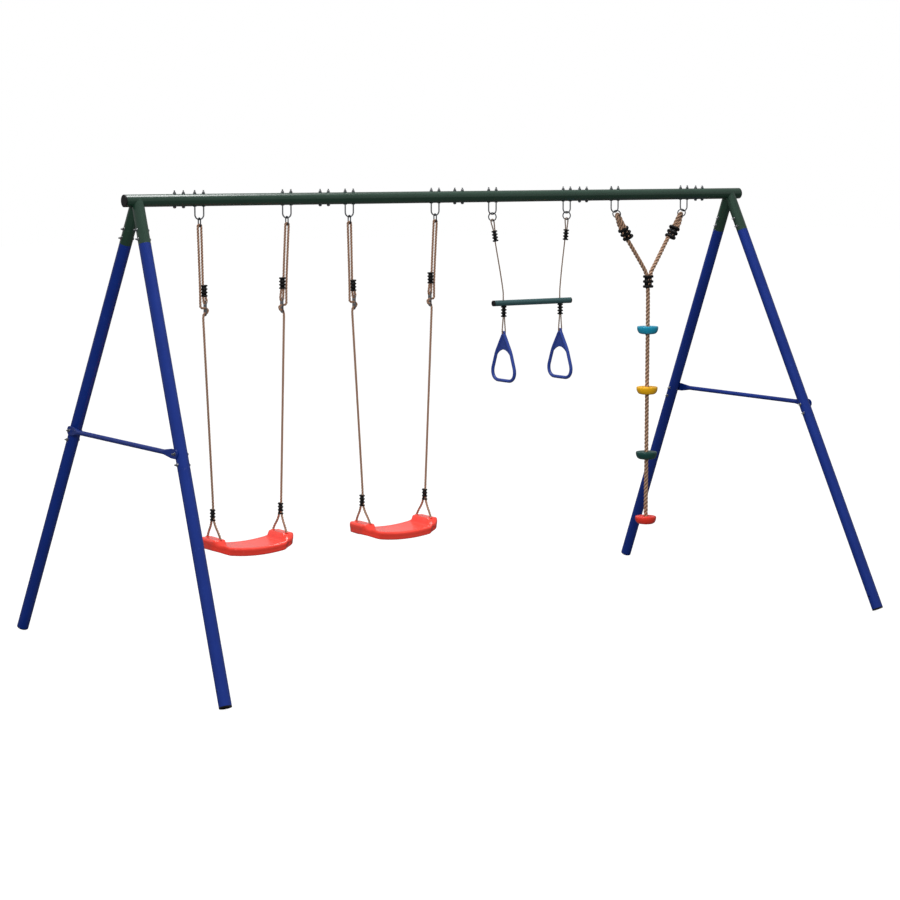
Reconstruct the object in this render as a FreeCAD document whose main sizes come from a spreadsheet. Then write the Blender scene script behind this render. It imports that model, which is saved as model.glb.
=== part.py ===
import FreeCAD, Part
import math
import os
import Sketcher

Vector = FreeCAD.Vector
Rotation = FreeCAD.Rotation
Placement = FreeCAD.Placement

# A garden swing set: a sectional beam on two A-frames carries two board swings,
# a trapeze bar with two ring handles and a climbing rope with foot discs.
# +X runs along the beam, +Z is up, and the origin lies on the ground midway between the feet.
SIZES = {
    # beam and legs, all of one tube
    "beam_height": 1866,
    "beam_half_length": 1600,
    "segment_pitch": 680,
    "seam_offset": 54,
    "tube_diameter": 50,
    "tube_wall": 1.5,
    "tube_fit": 0.3,
    "spigot_length": 100,
    "apex_offset": 1546,
    "foot_spread_x": 1676,
    "foot_spread_y": 913,
    "socket_reach": 190,
    "socket_bolt_reach": 128,
    "leg_joint_reach": 1134,
    "leg_bolt_reach": 1068,
    "bolt_pitch": 40,
    "leg_bolt_pitch": 44,
    "anchor_hole": 9,
    "anchor_rise": 60,
    "plug_flange": 4,
    "plug_depth": 25,
    "plug_wall": 3,
    "cap_flange": 5,
    # fasteners
    "bolt_diameter": 6,
    "hole_clearance": 0.4,
    "head_diameter": 13,
    "head_height": 5,
    "nut_width": 10,
    "nut_height": 5,
    "thread_past_nut": 8,
    "saddle_diameter": 14,
    "saddle_height": 2,
    "seat_gap": 0.1,
    # cross brace
    "brace_diameter": 20,
    "brace_flat_width": 38,
    "brace_flat_thickness": 4,
    "brace_flat_length": 30,
    "brace_flare_length": 60,
    # hangers under the beam
    "u_bolt_wire": 6,
    "u_bolt_width": 40,
    "u_bolt_drop": 78,
    "hanger_gap": 0.6,
    "link_wire": 5,
    "link_height": 40,
    "link_width": 24,
    "ring_diameter": 40,
    "swing_1_center": -1065,
    "swing_1_span": 408,
    "swing_2_center": -340,
    "swing_2_span": 435,
    "trapeze_center": 384,
    "trapeze_span": 408,
    "climber_center": 1065,
    "climber_span": 408,
    # swing ropes and seats
    "swing_rope": 10,
    "rope_gap": 0.08,
    "seating_gap": 0.3,
    "clamp_width": 30,
    "clamp_thickness": 18,
    "clamp_height": 48,
    "clamp_rib": 6,
    "adjuster_thickness": 3,
    "adjuster_width": 24,
    "adjuster_pitch": 20,
    "adjuster_clearance": 1,
    "seat_base_height": 407,
    "seat_depth": 34,
    "seat_sweep": 465,
    "seat_length": 396,
    "seat_end_width": 156,
    "seat_end_corner": 42,
    "seat_body_length": 264,
    "seat_body_width": 184,
    "seat_body_corner": 44,
    "seat_ridge_width": 44,
    "seat_ridge_height": 483,
    "seat_shoulder_height": 468,
    "seat_wall": 4,
    "seat_hole_clearance": 1.5,
    "seat_hole_half_span": 156,
    "seat_hole_half_pitch": 54,
    # trapeze bar and ring handles
    "bar_center": 399,
    "bar_height": 1397,
    "bar_diameter": 26,
    "bar_wall": 2,
    "bar_length": 428,
    "bar_cap_flange": 5,
    "bar_hole_clearance": 0.5,
    "bar_hole_half_span": 156,
    "trapeze_rope": 6,
    "trapeze_clamp_width": 28,
    "trapeze_clamp_thickness": 16,
    "handle_hole_height": 1260.8,
    "handle_grip": 15,
    "handle_web": 8,
    "handle_ear_radius": 10,
    "handle_ear_thickness": 10,
    "handle_hole_clearance": 1.5,
    "handle_arch": 46,
    # climbing rope and foot discs
    "climbing_rope": 18,
    "climber_rope_x": 1062,
    "climber_clamp_width": 50,
    "climber_clamp_thickness": 30,
    "climber_clamp_height": 58,
    "climber_clamp_rib": 11,
    "disc_diameter": 98,
    "disc_height": 38,
    "disc_boss": 28,
    "disc_1_height": 1260,
    "disc_2_height": 980,
    "disc_3_height": 677,
    "disc_4_height": 373,
}

doc = FreeCAD.newDocument("swing_set")
sheet = doc.addObject("Spreadsheet::Sheet", "sizes")
for row, (alias, number) in enumerate(SIZES.items(), start=1):
    sheet.set(f"A{row}", alias)
    sheet.set(f"B{row}", str(number))
    sheet.setAlias(f"B{row}", alias)
doc.recompute()

nodes = []
OVERCUT = 5


def size(alias):
    return float(sheet.get(alias))


def publish(item, label):
    item.Label = label
    nodes.append(item)
    return item


def bind(item, bindings):
    for name, expression in bindings.items():
        item.setExpression(name, expression)
    return item


# ---- frames: an origin and a direction that pieces are built along ----

TURNED = {
    "X": Rotation(Vector(0, 0, 1), Vector(1, 0, 0)),
    "Y": Rotation(Vector(0, 0, 1), Vector(0, 1, 0)),
    "Z": Rotation(),
}


def beam_place(reach):
    """on the beam's axis, pointing along it"""
    return Placement(Vector(reach, 0, size("beam_height")), TURNED["X"])


def leg_axes(side, face):
    """apex, direction down the leg, and the normal of its A-frame towards +X"""
    apex = Vector(side * size("apex_offset"), 0, size("beam_height"))
    foot = Vector(side * size("foot_spread_x"), face * size("foot_spread_y"), 0)
    down = (foot - apex).normalize()
    splay = size("foot_spread_x") - size("apex_offset")
    normal = Vector(size("beam_height"), 0, side * splay).normalize()
    return apex, down, normal


def leg_place(side, face, reach):
    """on a leg's axis, pointing down it, with local X along the A-frame's normal"""
    apex, down, normal = leg_axes(side, face)
    turn = Rotation(normal, down.cross(normal), down, "ZXY")
    return Placement(apex + down * reach, turn)


def leg_length():
    """reach at which a square-cut tube end just touches the ground"""
    apex, down, normal = leg_axes(1, 1)
    rim_drop = size("tube_diameter") / 2 * math.sqrt(1 - down.z ** 2)
    return (size("beam_height") - rim_drop) / -down.z


SIDES = {"left": -1, "right": 1}
FACES = {"front": -1, "back": 1}


# ---- primitives bound to the sheet ----

def rod(name, radius, length, place):
    item = doc.addObject("Part::Cylinder", name)
    item.Placement = place
    return bind(item, {"Radius": radius, "Height": length})


def block(name, length, width, height, place):
    item = doc.addObject("Part::Box", name)
    item.Placement = place
    return bind(item, {"Length": length, "Width": width, "Height": height})


def fuse(name, items):
    item = doc.addObject("Part::MultiFuse", name)
    item.Shapes = items
    return item


def cut(name, base, tools):
    item = doc.addObject("Part::Cut", name)
    item.Base = base
    item.Tool = tools[0] if len(tools) == 1 else fuse(f"{name}_tools", tools)
    return item


def common(name, items):
    item = doc.addObject("Part::MultiCommon", name)
    item.Shapes = items
    return item


def group(name, items):
    item = doc.addObject("Part::Compound", name)
    item.Links = items
    return item


def turned_body(name, corners):
    """a PartDesign body revolved about Z from (radius, height) corners, each an expression"""
    body = doc.addObject("PartDesign::Body", name)
    plane = next(part for part in body.Origin.OriginFeatures if part.Role == "XZ_Plane")
    sketch = body.newObject("Sketcher::SketchObject", f"{name}_profile")
    sketch.AttachmentSupport = (plane, [""])
    sketch.MapMode = "FlatFace"
    count = len(corners)
    rough = []
    for index in range(count):
        angle = math.tau * index / count
        rough.append(Vector(30 + 20 * math.cos(angle), 30 + 20 * math.sin(angle), 0))
    for index in range(count):
        sketch.addGeometry(Part.LineSegment(rough[index], rough[(index + 1) % count]))
    for index in range(count):
        sketch.addConstraint(Sketcher.Constraint("Coincident", index, 2, (index + 1) % count, 1))
    for index, (radius, height) in enumerate(corners):
        for kind, axis, expression in (("DistanceX", -2, radius), ("DistanceY", -1, height)):
            if expression == "0":
                sketch.addConstraint(Sketcher.Constraint("PointOnObject", index, 1, axis))
            else:
                start = rough[index].x if kind == "DistanceX" else rough[index].y
                bound = sketch.addConstraint(Sketcher.Constraint(kind, -1, 1, index, 1, start))
                sketch.setExpression(f"Constraints[{bound}]", expression)
    doc.recompute()
    turn = body.newObject("PartDesign::Revolution", f"{name}_turn")
    turn.Profile = sketch
    turn.ReferenceAxis = (sketch, ["V_Axis"])
    turn.Angle = 360
    return body


# ---- swaged tubes of the beam and the legs ----

OUTER = "sizes.tube_diameter / 2"
BORE = "sizes.tube_diameter / 2 - sizes.tube_wall"
SPIGOT = f"{BORE} - sizes.tube_fit"
SPIGOT_BORE = f"{SPIGOT} - sizes.tube_wall"
HOLE = "(sizes.bolt_diameter + sizes.hole_clearance) / 2"


def swaged_tube(name, place, run, ahead, spigot, drills):
    """a tube of length run; spigot is +1 or -1 for a swaged end there, 0 for none

    place(reach) gives the frame at a distance from the tube's start.
    """
    shoulder = 2 * size("tube_wall")
    whole = [rod(f"{name}_outer", OUTER, run, place(0))]
    bore_start = -OVERCUT
    bore_run = f"{run} + {2 * OVERCUT}"
    if spigot > 0:
        whole.append(rod(f"{name}_spigot", SPIGOT, "sizes.spigot_length", place(ahead)))
        bore_run = f"{run} + {OVERCUT} - 2 * sizes.tube_wall"
    if spigot < 0:
        start = place(-size("spigot_length"))
        whole.append(rod(f"{name}_spigot", SPIGOT, "sizes.spigot_length", start))
        bore_start = shoulder
        bore_run = f"{run} + {OVERCUT} - 2 * sizes.tube_wall"
    bores = [rod(f"{name}_bore", BORE, bore_run, place(bore_start))]
    if spigot:
        start = place(-size("spigot_length") - OVERCUT)
        through = f"{run} + 2 * sizes.spigot_length + {2 * OVERCUT}"
        bores.append(rod(f"{name}_spigot_bore", SPIGOT_BORE, through, start))
        whole = [fuse(f"{name}_blank", whole)]
    return cut(name, whole[0], bores + drills)


def beam_drill(name, reach):
    """a vertical hole through both walls of the beam"""
    start = Vector(reach, 0, size("beam_height") - size("tube_diameter"))
    return rod(name, HOLE, "2 * sizes.tube_diameter", Placement(start, TURNED["Z"]))


def leg_drill(name, side, face, reach, radius=HOLE):
    """a hole through both walls of a leg, along its A-frame's normal"""
    apex, down, normal = leg_axes(side, face)
    start = apex + down * reach - normal * size("tube_diameter")
    place = Placement(start, Rotation(Vector(0, 0, 1), normal))
    return rod(name, radius, "2 * sizes.tube_diameter", place)


HANGERS = {}
for hanger in ("swing_1", "swing_2", "trapeze", "climber"):
    middle = size(f"{hanger}_center")
    half = size(f"{hanger}_span") / 2
    HANGERS[hanger] = {"left": middle - half, "right": middle + half}

joints = [step * size("segment_pitch") for step in range(-2, 3)]
seams = [joint - size("seam_offset") for joint in joints]
joint_bolts = []
for joint in joints:
    joint_bolts += [joint - size("bolt_pitch") / 2, joint + size("bolt_pitch") / 2]
u_bolt_legs = []
for pair in HANGERS.values():
    for reach in pair.values():
        u_bolt_legs += [reach - size("u_bolt_width") / 2, reach + size("u_bolt_width") / 2]


def drills_between(name, low, high):
    inside = [reach for reach in joint_bolts + u_bolt_legs if low < reach < high]
    return [beam_drill(f"{name}_drill_{index}", reach) for index, reach in enumerate(inside)]


def beam_tube(name, index):
    start = seams[index]
    run = "sizes.segment_pitch"
    past = seams[index + 1] + size("spigot_length")
    drills = drills_between(name, start, past)
    tube = swaged_tube(name, lambda reach: beam_place(start + reach), run,
                       size("segment_pitch"), 1, drills)
    return publish(tube, name)


def beam_end(name, side):
    """the end tube of the beam, with two welded sockets that the legs plug into"""
    if side < 0:
        start = -size("beam_half_length")
        run = "sizes.beam_half_length - 2 * sizes.segment_pitch - sizes.seam_offset"
        ahead = seams[0] - start
        spigot = 1
        past = seams[0] + size("spigot_length")
    else:
        start = seams[4]
        run = "sizes.beam_half_length - 2 * sizes.segment_pitch + sizes.seam_offset"
        ahead = size("beam_half_length") - start
        spigot = 0
        past = size("beam_half_length")
    drills = drills_between(name, start, past)
    tube = swaged_tube(f"{name}_tube", lambda reach: beam_place(start + reach), run,
                       ahead, spigot, drills)
    blanks = []
    hollows = []
    for face_name, face in FACES.items():
        tag = f"{name}_{face_name}"
        blanks.append(rod(f"{tag}_socket", OUTER, "sizes.socket_reach", leg_place(side, face, 0)))
        hollow_run = f"sizes.socket_reach + {OVERCUT}"
        hollows.append(rod(f"{tag}_hollow", BORE, hollow_run, leg_place(side, face, 0)))
        for step in (0, 1):
            reach = size("socket_bolt_reach") + step * size("bolt_pitch")
            hollows.append(leg_drill(f"{tag}_drill_{step}", side, face, reach))
    core_start = beam_place(side * size("apex_offset") - 2 * size("tube_diameter"))
    core = rod(f"{name}_core", BORE, "4 * sizes.tube_diameter", core_start)
    sockets = cut(f"{name}_sockets", fuse(f"{name}_blanks", blanks), hollows + [core])
    shell = f"{BORE} + sizes.tube_wall / 2"
    relief = rod(f"{name}_relief", shell, "4 * sizes.tube_diameter", core_start)
    trimmed = cut(f"{name}_trimmed", sockets, [relief])
    return publish(fuse(name, [tube, trimmed]), name)


def leg(side_name, face_name):
    side = SIDES[side_name]
    face = FACES[face_name]
    tag = f"{side_name}_{face_name}"

    top = size("socket_reach")
    drills = []
    for step in (0, 1):
        reach = size("socket_bolt_reach") + step * size("bolt_pitch")
        drills.append(leg_drill(f"upper_{tag}_socket_drill_{step}", side, face, reach))
        reach = size("leg_bolt_reach") + step * size("leg_bolt_pitch")
        drills.append(leg_drill(f"upper_{tag}_joint_drill_{step}", side, face, reach))
    upper = swaged_tube(f"upper_leg_{tag}", lambda reach: leg_place(side, face, top + reach),
                        "sizes.leg_joint_reach - sizes.socket_reach", 0, -1, drills)
    publish(upper, f"upper_leg_{tag}")

    joint = size("leg_joint_reach")
    run = leg_length() - size("plug_flange") - joint
    drills = []
    for step in (0, 1):
        reach = size("leg_bolt_reach") + step * size("leg_bolt_pitch")
        drills.append(leg_drill(f"lower_{tag}_joint_drill_{step}", side, face, reach))
    anchor = leg_length() - size("plug_flange") - size("anchor_rise")
    drills.append(leg_drill(f"lower_{tag}_anchor", side, face, anchor, "sizes.anchor_hole / 2"))
    lower = swaged_tube(f"lower_leg_{tag}", lambda reach: leg_place(side, face, joint + reach),
                        str(run), 0, -1, drills)
    publish(lower, f"lower_leg_{tag}")


def plug(name, flange, place):
    """a plastic plug: a flange over the tube's end and a hollow barrel inside it"""
    barrel = f"{BORE} - sizes.tube_fit"
    body = turned_body(name, [
        ("0", "0"),
        (OUTER, "0"),
        (OUTER, flange),
        (barrel, flange),
        (barrel, f"{flange} + sizes.plug_depth"),
        (f"{barrel} - sizes.plug_wall", f"{flange} + sizes.plug_depth"),
        (f"{barrel} - sizes.plug_wall", flange),
        ("0", flange),
    ])
    body.Placement = place
    return body


# ---- fasteners ----

def bolt(name, shank, place):
    """a dome-headed bolt; place is the underside of its head and points along the shank"""
    head_place = place.multiply(Placement(Vector(0, 0, 0), Rotation(Vector(1, 0, 0), 180)))
    head = doc.addObject("Part::Cone", f"{name}_head")
    head.Placement = head_place
    bind(head, {
        "Radius1": "sizes.head_diameter / 2",
        "Radius2": "sizes.head_diameter / 4",
        "Height": "sizes.head_height",
    })
    shaft = rod(f"{name}_shank", "sizes.bolt_diameter / 2", shank, place)
    return fuse(name, [head, shaft])


def nut(name, place):
    """a hexagon nut; place is its bearing face and points away from the work"""
    blank = doc.addObject("Part::Prism", f"{name}_blank")
    blank.Polygon = 6
    blank.Placement = place
    bind(blank, {"Circumradius": "sizes.nut_width / 2 / cos(30)", "Height": "sizes.nut_height"})
    start = place.multiply(Placement(Vector(0, 0, -OVERCUT), Rotation()))
    thread = rod(f"{name}_thread", f"sizes.bolt_diameter / 2 + {size('seat_gap')}",
                 f"sizes.nut_height + {2 * OVERCUT}", start)
    return cut(name, blank, [thread])


def saddle_stack():
    """height of a nut's or head's bearing face above the beam's axis"""
    return size("tube_diameter") / 2 + size("saddle_height")


def beam_joint_fasteners():
    bolts = []
    nuts = []
    shank = ("sizes.tube_diameter + 2 * sizes.saddle_height"
             " + sizes.nut_height + sizes.thread_past_nut")
    axis = size("beam_height")
    for index, reach in enumerate(joint_bolts):
        under = Placement(Vector(reach, 0, axis - saddle_stack()), TURNED["Z"])
        over = Placement(Vector(reach, 0, axis + saddle_stack()), TURNED["Z"])
        bolts.append(bolt(f"beam_bolt_{index}", shank, under))
        nuts.append(nut(f"beam_nut_{index}", over))
    for index, reach in enumerate(u_bolt_legs):
        over = Placement(Vector(reach, 0, axis + saddle_stack()), TURNED["Z"])
        nuts.append(nut(f"u_bolt_nut_{index}", over))
    publish(group("beam_joint_bolts", bolts), "beam_joint_bolts")
    publish(group("beam_nuts", nuts), "beam_nuts")


def saddle_washers():
    """plastic washers hollowed to the beam, above and below it at every bolt"""
    blanks = []
    drills = []
    depth = size("saddle_height") + size("tube_diameter") / 4
    for index, reach in enumerate(joint_bolts + u_bolt_legs):
        for level, low in (("over", saddle_stack() - depth), ("under", -saddle_stack())):
            start = Vector(reach, 0, size("beam_height") + low)
            blanks.append(rod(f"saddle_{level}_{index}", "sizes.saddle_diameter / 2",
                              "sizes.saddle_height + sizes.tube_diameter / 4",
                              Placement(start, TURNED["Z"])))
        drills.append(beam_drill(f"saddle_drill_{index}", reach))
    start = beam_place(-size("beam_half_length"))
    beam = rod("saddle_seat", f"{OUTER} + sizes.seat_gap", "2 * sizes.beam_half_length", start)
    washers = cut("saddle_washers", group("saddle_blanks", blanks), [beam] + drills)
    publish(washers, "saddle_washers")


def leg_fasteners():
    """two bolts at each socket and two at each leg joint, heads on the +X side"""
    kinds = {
        "socket": ("socket_bolt_reach", "bolt_pitch"),
        "leg_joint": ("leg_bolt_reach", "leg_bolt_pitch"),
    }
    nuts = []
    for kind, (first, pitch) in kinds.items():
        bolts = []
        for side_name, side in SIDES.items():
            for face_name, face in FACES.items():
                apex, down, normal = leg_axes(side, face)
                for step in (0, 1):
                    centre = apex + down * (size(first) + step * size(pitch))
                    braced = kind == "leg_joint" and step == 0
                    plate = size("brace_flat_thickness") + size("seat_gap") if braced else 0
                    radius = size("tube_diameter") / 2 + size("seat_gap")
                    head_out = radius + (plate if side > 0 else 0)
                    nut_out = radius + (plate if side < 0 else 0)
                    grip = head_out + nut_out + size("nut_height") + size("thread_past_nut")
                    tag = f"{kind}_{side_name}_{face_name}_{step}"
                    inward = Rotation(Vector(0, 0, 1), normal * -1)
                    head = Placement(centre + normal * head_out, inward)
                    seat = Placement(centre - normal * nut_out, inward)
                    bolts.append(bolt(f"{tag}_bolt", str(grip), head))
                    nuts.append(nut(f"{tag}_nut", seat))
        publish(group(f"{kind}_bolts", bolts), f"{kind}_bolts")
    publish(group("leg_nuts", nuts), "leg_nuts")


# ---- hangers ----

def half_ring(name, radius, wire, place):
    item = doc.addObject("Part::Torus", name)
    item.Placement = place
    item.Angle3 = 180
    return bind(item, {"Radius1": radius, "Radius2": wire})


FACING_DOWN = Rotation(Vector(1, 0, 0), -90)
LINK_TOP = Rotation(Vector(0, 1, 0), Vector(0, 0, 1), Vector(1, 0, 0), "ZXY")
LINK_BOTTOM = Rotation(Vector(0, -1, 0), Vector(0, 0, -1), Vector(1, 0, 0), "ZXY")


def hanger_height():
    """height of the axis that everything on the beam swings about"""
    return size("beam_height") - size("u_bolt_drop")


def u_bolt(name, reach):
    half = size("u_bolt_width") / 2
    bend = Vector(reach, 0, hanger_height() + half)
    wire = "sizes.u_bolt_wire / 2"
    pieces = [half_ring(f"{name}_bend", "sizes.u_bolt_width / 2", wire,
                        Placement(bend, FACING_DOWN))]
    run = ("sizes.u_bolt_drop - sizes.u_bolt_width / 2 + sizes.tube_diameter / 2"
           " + sizes.saddle_height + sizes.nut_height + sizes.thread_past_nut")
    for side in (-1, 1):
        start = bend + Vector(side * half, 0, 0)
        pieces.append(rod(f"{name}_leg_{side + 1}", wire, run, Placement(start, TURNED["Z"])))
    return fuse(name, pieces)


def link_center():
    """height of a link's or ring's centre as it hangs on the bend of its U-bolt"""
    wires = (size("u_bolt_wire") + size("link_wire")) / 2
    return wires + size("hanger_gap")


def link(name, reach):
    """an oblong wire link across the beam"""
    wire = "sizes.link_wire / 2"
    bend = "(sizes.link_width - sizes.link_wire) / 2"
    bend_size = (size("link_width") - size("link_wire")) / 2
    top = hanger_height() + link_center() - bend_size
    straight = size("link_height") - size("link_width")
    upper = Vector(reach, 0, top)
    lower = upper - Vector(0, 0, straight)
    pieces = [
        half_ring(f"{name}_top", bend, wire, Placement(upper, LINK_TOP)),
        half_ring(f"{name}_bottom", bend, wire, Placement(lower, LINK_BOTTOM)),
    ]
    for side in (-1, 1):
        start = lower + Vector(0, side * bend_size, 0)
        pieces.append(rod(f"{name}_side_{side + 1}", wire,
                          "sizes.link_height - sizes.link_width", Placement(start, TURNED["Z"])))
    return fuse(name, pieces)


def ring(name, centre, normal):
    item = doc.addObject("Part::Torus", name)
    item.Placement = Placement(centre, Rotation(Vector(0, 0, 1), normal))
    return bind(item, {
        "Radius1": "(sizes.ring_diameter - sizes.link_wire) / 2",
        "Radius2": "sizes.link_wire / 2",
    })


# ---- ropes: straight runs joined by tangent arcs ----

def rope_wire(label, points, bends):
    """bends maps an inner point's index to its radius; the others get the widest that fits"""
    edges = []
    radii = []
    start = points[0]
    for index in range(1, len(points) - 1):
        before, corner, after = points[index - 1:index + 2]
        into = (corner - before).normalize()
        out = (after - corner).normalize()
        half_turn = math.tan(into.getAngle(out) / 2)
        shorter = min(corner.distanceToPoint(before), after.distanceToPoint(corner))
        radius = bends.get(index, 0.45 * shorter / half_turn)
        reach = radius * half_turn
        enter = corner - into * reach
        leave = corner + out * reach
        bulge = radius * (math.sqrt(1 + half_turn ** 2) - 1)
        middle = corner + (out - into).normalize() * bulge
        if enter.distanceToPoint(start) > 0.01:
            edges.append(Part.LineSegment(start, enter).toShape())
        edges.append(Part.Arc(enter, middle, leave).toShape())
        radii.append(round(radius, 1))
        start = leave
    edges.append(Part.LineSegment(start, points[-1]).toShape())
    print(f"{label}: arc radii {radii}")
    return Part.Wire(edges)


def tube_along(wire, radius):
    first = wire.Edges[0]
    direction = first.tangentAt(first.FirstParameter)
    start = first.valueAt(first.FirstParameter)
    section = Part.Wire([Part.makeCircle(radius, start, direction)])
    return wire.makePipeShell([section], True, False)


def rope(label, points, bends, diameter):
    wire = rope_wire(label, points, bends)
    shape = tube_along(wire, diameter / 2)
    expected = math.pi * diameter ** 2 / 4 * wire.Length
    if abs(shape.Volume / expected - 1) > 0.01:
        raise ValueError(f"{label}: volume {shape.Volume} is not section times length {expected}")
    print(f"{label}: length {wire.Length:.0f} mm")
    item = doc.addObject("Part::Feature", label)
    item.Shape = shape
    publish(item, label)
    return wire


def stadium(width, thickness, height, place):
    """a rounded bar section along local X, raised along local Z"""
    half = thickness / 2
    offset = max(width / 2 - half, 0.01)
    corners = [Vector(-offset, -half, 0), Vector(offset, -half, 0),
               Vector(offset, half, 0), Vector(-offset, half, 0)]
    edges = [
        Part.LineSegment(corners[0], corners[1]).toShape(),
        Part.Arc(corners[1], Vector(offset + half, 0, 0), corners[2]).toShape(),
        Part.LineSegment(corners[2], corners[3]).toShape(),
        Part.Arc(corners[3], Vector(-offset - half, 0, 0), corners[0]).toShape(),
    ]
    solid = Part.Face(Part.Wire(edges)).extrude(Vector(0, 0, height))
    solid.Placement = place
    return solid


def clamp(place, width, thickness, height, rib, ribs, wires, rope_diameter):
    """a ribbed plastic clamp moulded round the strands of a rope

    place is its lower end, pointing along the rope, with local X across the strands.
    """
    solid = stadium(2 * rope_diameter, 0.8 * rope_diameter, height, place)
    pitch = (height - rib) / (ribs - 1)
    for index in range(ribs):
        lift = place.multiply(Placement(Vector(0, 0, index * pitch), Rotation()))
        solid = solid.fuse(stadium(width, thickness, rib, lift))
    solid = solid.removeSplitter()
    radius = rope_diameter / 2 + size("rope_gap")
    for wire in wires:
        for strand in strands_near(solid, wire, radius):
            solid = solid.cut(tube_along(strand, radius))
    return solid


def strands_near(solid, wire, radius):
    """the stretches of a rope's wire that pass through a solid's box"""
    box = solid.BoundBox
    stretches = []
    inside = False
    for edge in wire.OrderedEdges:
        reach = edge.BoundBox
        reach.enlarge(radius)
        near = box.intersect(reach)
        if near and not inside:
            stretches.append([])
        if near:
            stretches[-1].append(edge)
        inside = near
    return [Part.Wire(edges) for edges in stretches]


def feature_group(label, shapes):
    item = doc.addObject("Part::Feature", label)
    item.Shape = Part.makeCompound(shapes)
    return publish(item, label)


def clamp_place(centre, along, across, height):
    """frame of a clamp whose middle is centre"""
    along = along.normalize()
    side = along.cross(across).normalize()
    turn = Rotation(side.cross(along), side, along, "ZXY")
    return Placement(centre - along * (height / 2), turn)


# ---- swings ----

def adjuster(centre_x, lowest):
    """a flat plate across the beam with three holes that grips the rope at its set height"""
    pitch = size("adjuster_pitch")
    width = size("adjuster_width")
    thickness = size("adjuster_thickness")
    start = Vector(centre_x - thickness / 2, 0, lowest)
    bore = size("swing_rope") / 2 + size("adjuster_clearance")
    turn = Rotation(Vector(0, 0, 1), Vector(0, 1, 0), Vector(-1, 0, 0), "XYZ")
    middle = start + Vector(thickness, 0, pitch)
    plate = stadium(2 * pitch + width, width, thickness, Placement(middle, turn))
    for index in range(3):
        hole_start = start + Vector(-OVERCUT, 0, index * pitch)
        hole = Part.makeCylinder(bore, thickness + 2 * OVERCUT, hole_start, Vector(1, 0, 0))
        plate = plate.cut(hole)
    return plate


def swing_rope_route(hang_x, inward, hole_x, lean, clamp_top):
    """from the eye's end down to the adjuster, over the link, and round under the seat"""
    half = size("swing_rope") / 2 + 0.1
    turn = (size("link_wire") + size("swing_rope")) / 2 + 0.3
    link_low = hanger_height() + link_center() - size("link_height") + size("link_wire")
    pitch = size("adjuster_pitch")
    plate = 21 + lean
    eye = plate - 6.8
    strand = plate - 9.1
    low = 1409
    neck = clamp_top - size("clamp_height")
    seat_clamp = inward * (hole_x - hang_x) - 5
    deck = (size("seat_ridge_height") - size("seat_wall") - size("swing_rope") / 2
            - size("seating_gap"))
    local = [
        (strand + 2 * half, 0, clamp_top - 2),
        (strand + 2 * half, 0, neck - 1),
        (plate + 6.8, 0, low + 2 * pitch + 15),
        (plate + 6.8, 0, low + 2 * pitch),
        (eye, 0, low + 2 * pitch),
        (eye, 0, low + 2 * pitch + 15),
        (strand, 0, neck - 1),
        (strand, 0, clamp_top + 3),
        (turn, 0, link_low + turn),
        (-turn, 0, link_low + turn),
        (plate - 22, 0, low + 2 * pitch),
        (plate - 22, 0, low + pitch),
        (plate + 12, 0, low + pitch),
        (plate + 12, 0, low),
        (plate - 10.5, 0, low),
        (seat_clamp, -half, 612),
        (seat_clamp, -half, 551),
        (seat_clamp + 5, -size("seat_hole_half_pitch"), 492),
        (seat_clamp + 5, -size("seat_hole_half_pitch"), deck),
        (seat_clamp + 5, size("seat_hole_half_pitch"), deck),
        (seat_clamp + 5, size("seat_hole_half_pitch"), 492),
        (seat_clamp, half, 551),
        (seat_clamp, half, 602),
    ]
    bends = {3: 6.7, 4: 6.7, 8: turn - 0.1, 9: turn - 0.1, 11: 9, 12: 9.9, 13: 9.9, 14: 8,
             18: 5.6, 19: 5.6}
    points = [Vector(hang_x + inward * along, across, up) for along, across, up in local]
    marks = {
        "upper_clamp": Vector(hang_x + inward * (strand + half), 0,
                              clamp_top - size("clamp_height") / 2),
        "adjuster": hang_x + inward * plate,
        "adjuster_low": low,
        "seat_clamp": Vector(hang_x + inward * seat_clamp, 0, 579),
    }
    return points, bends, marks


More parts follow.
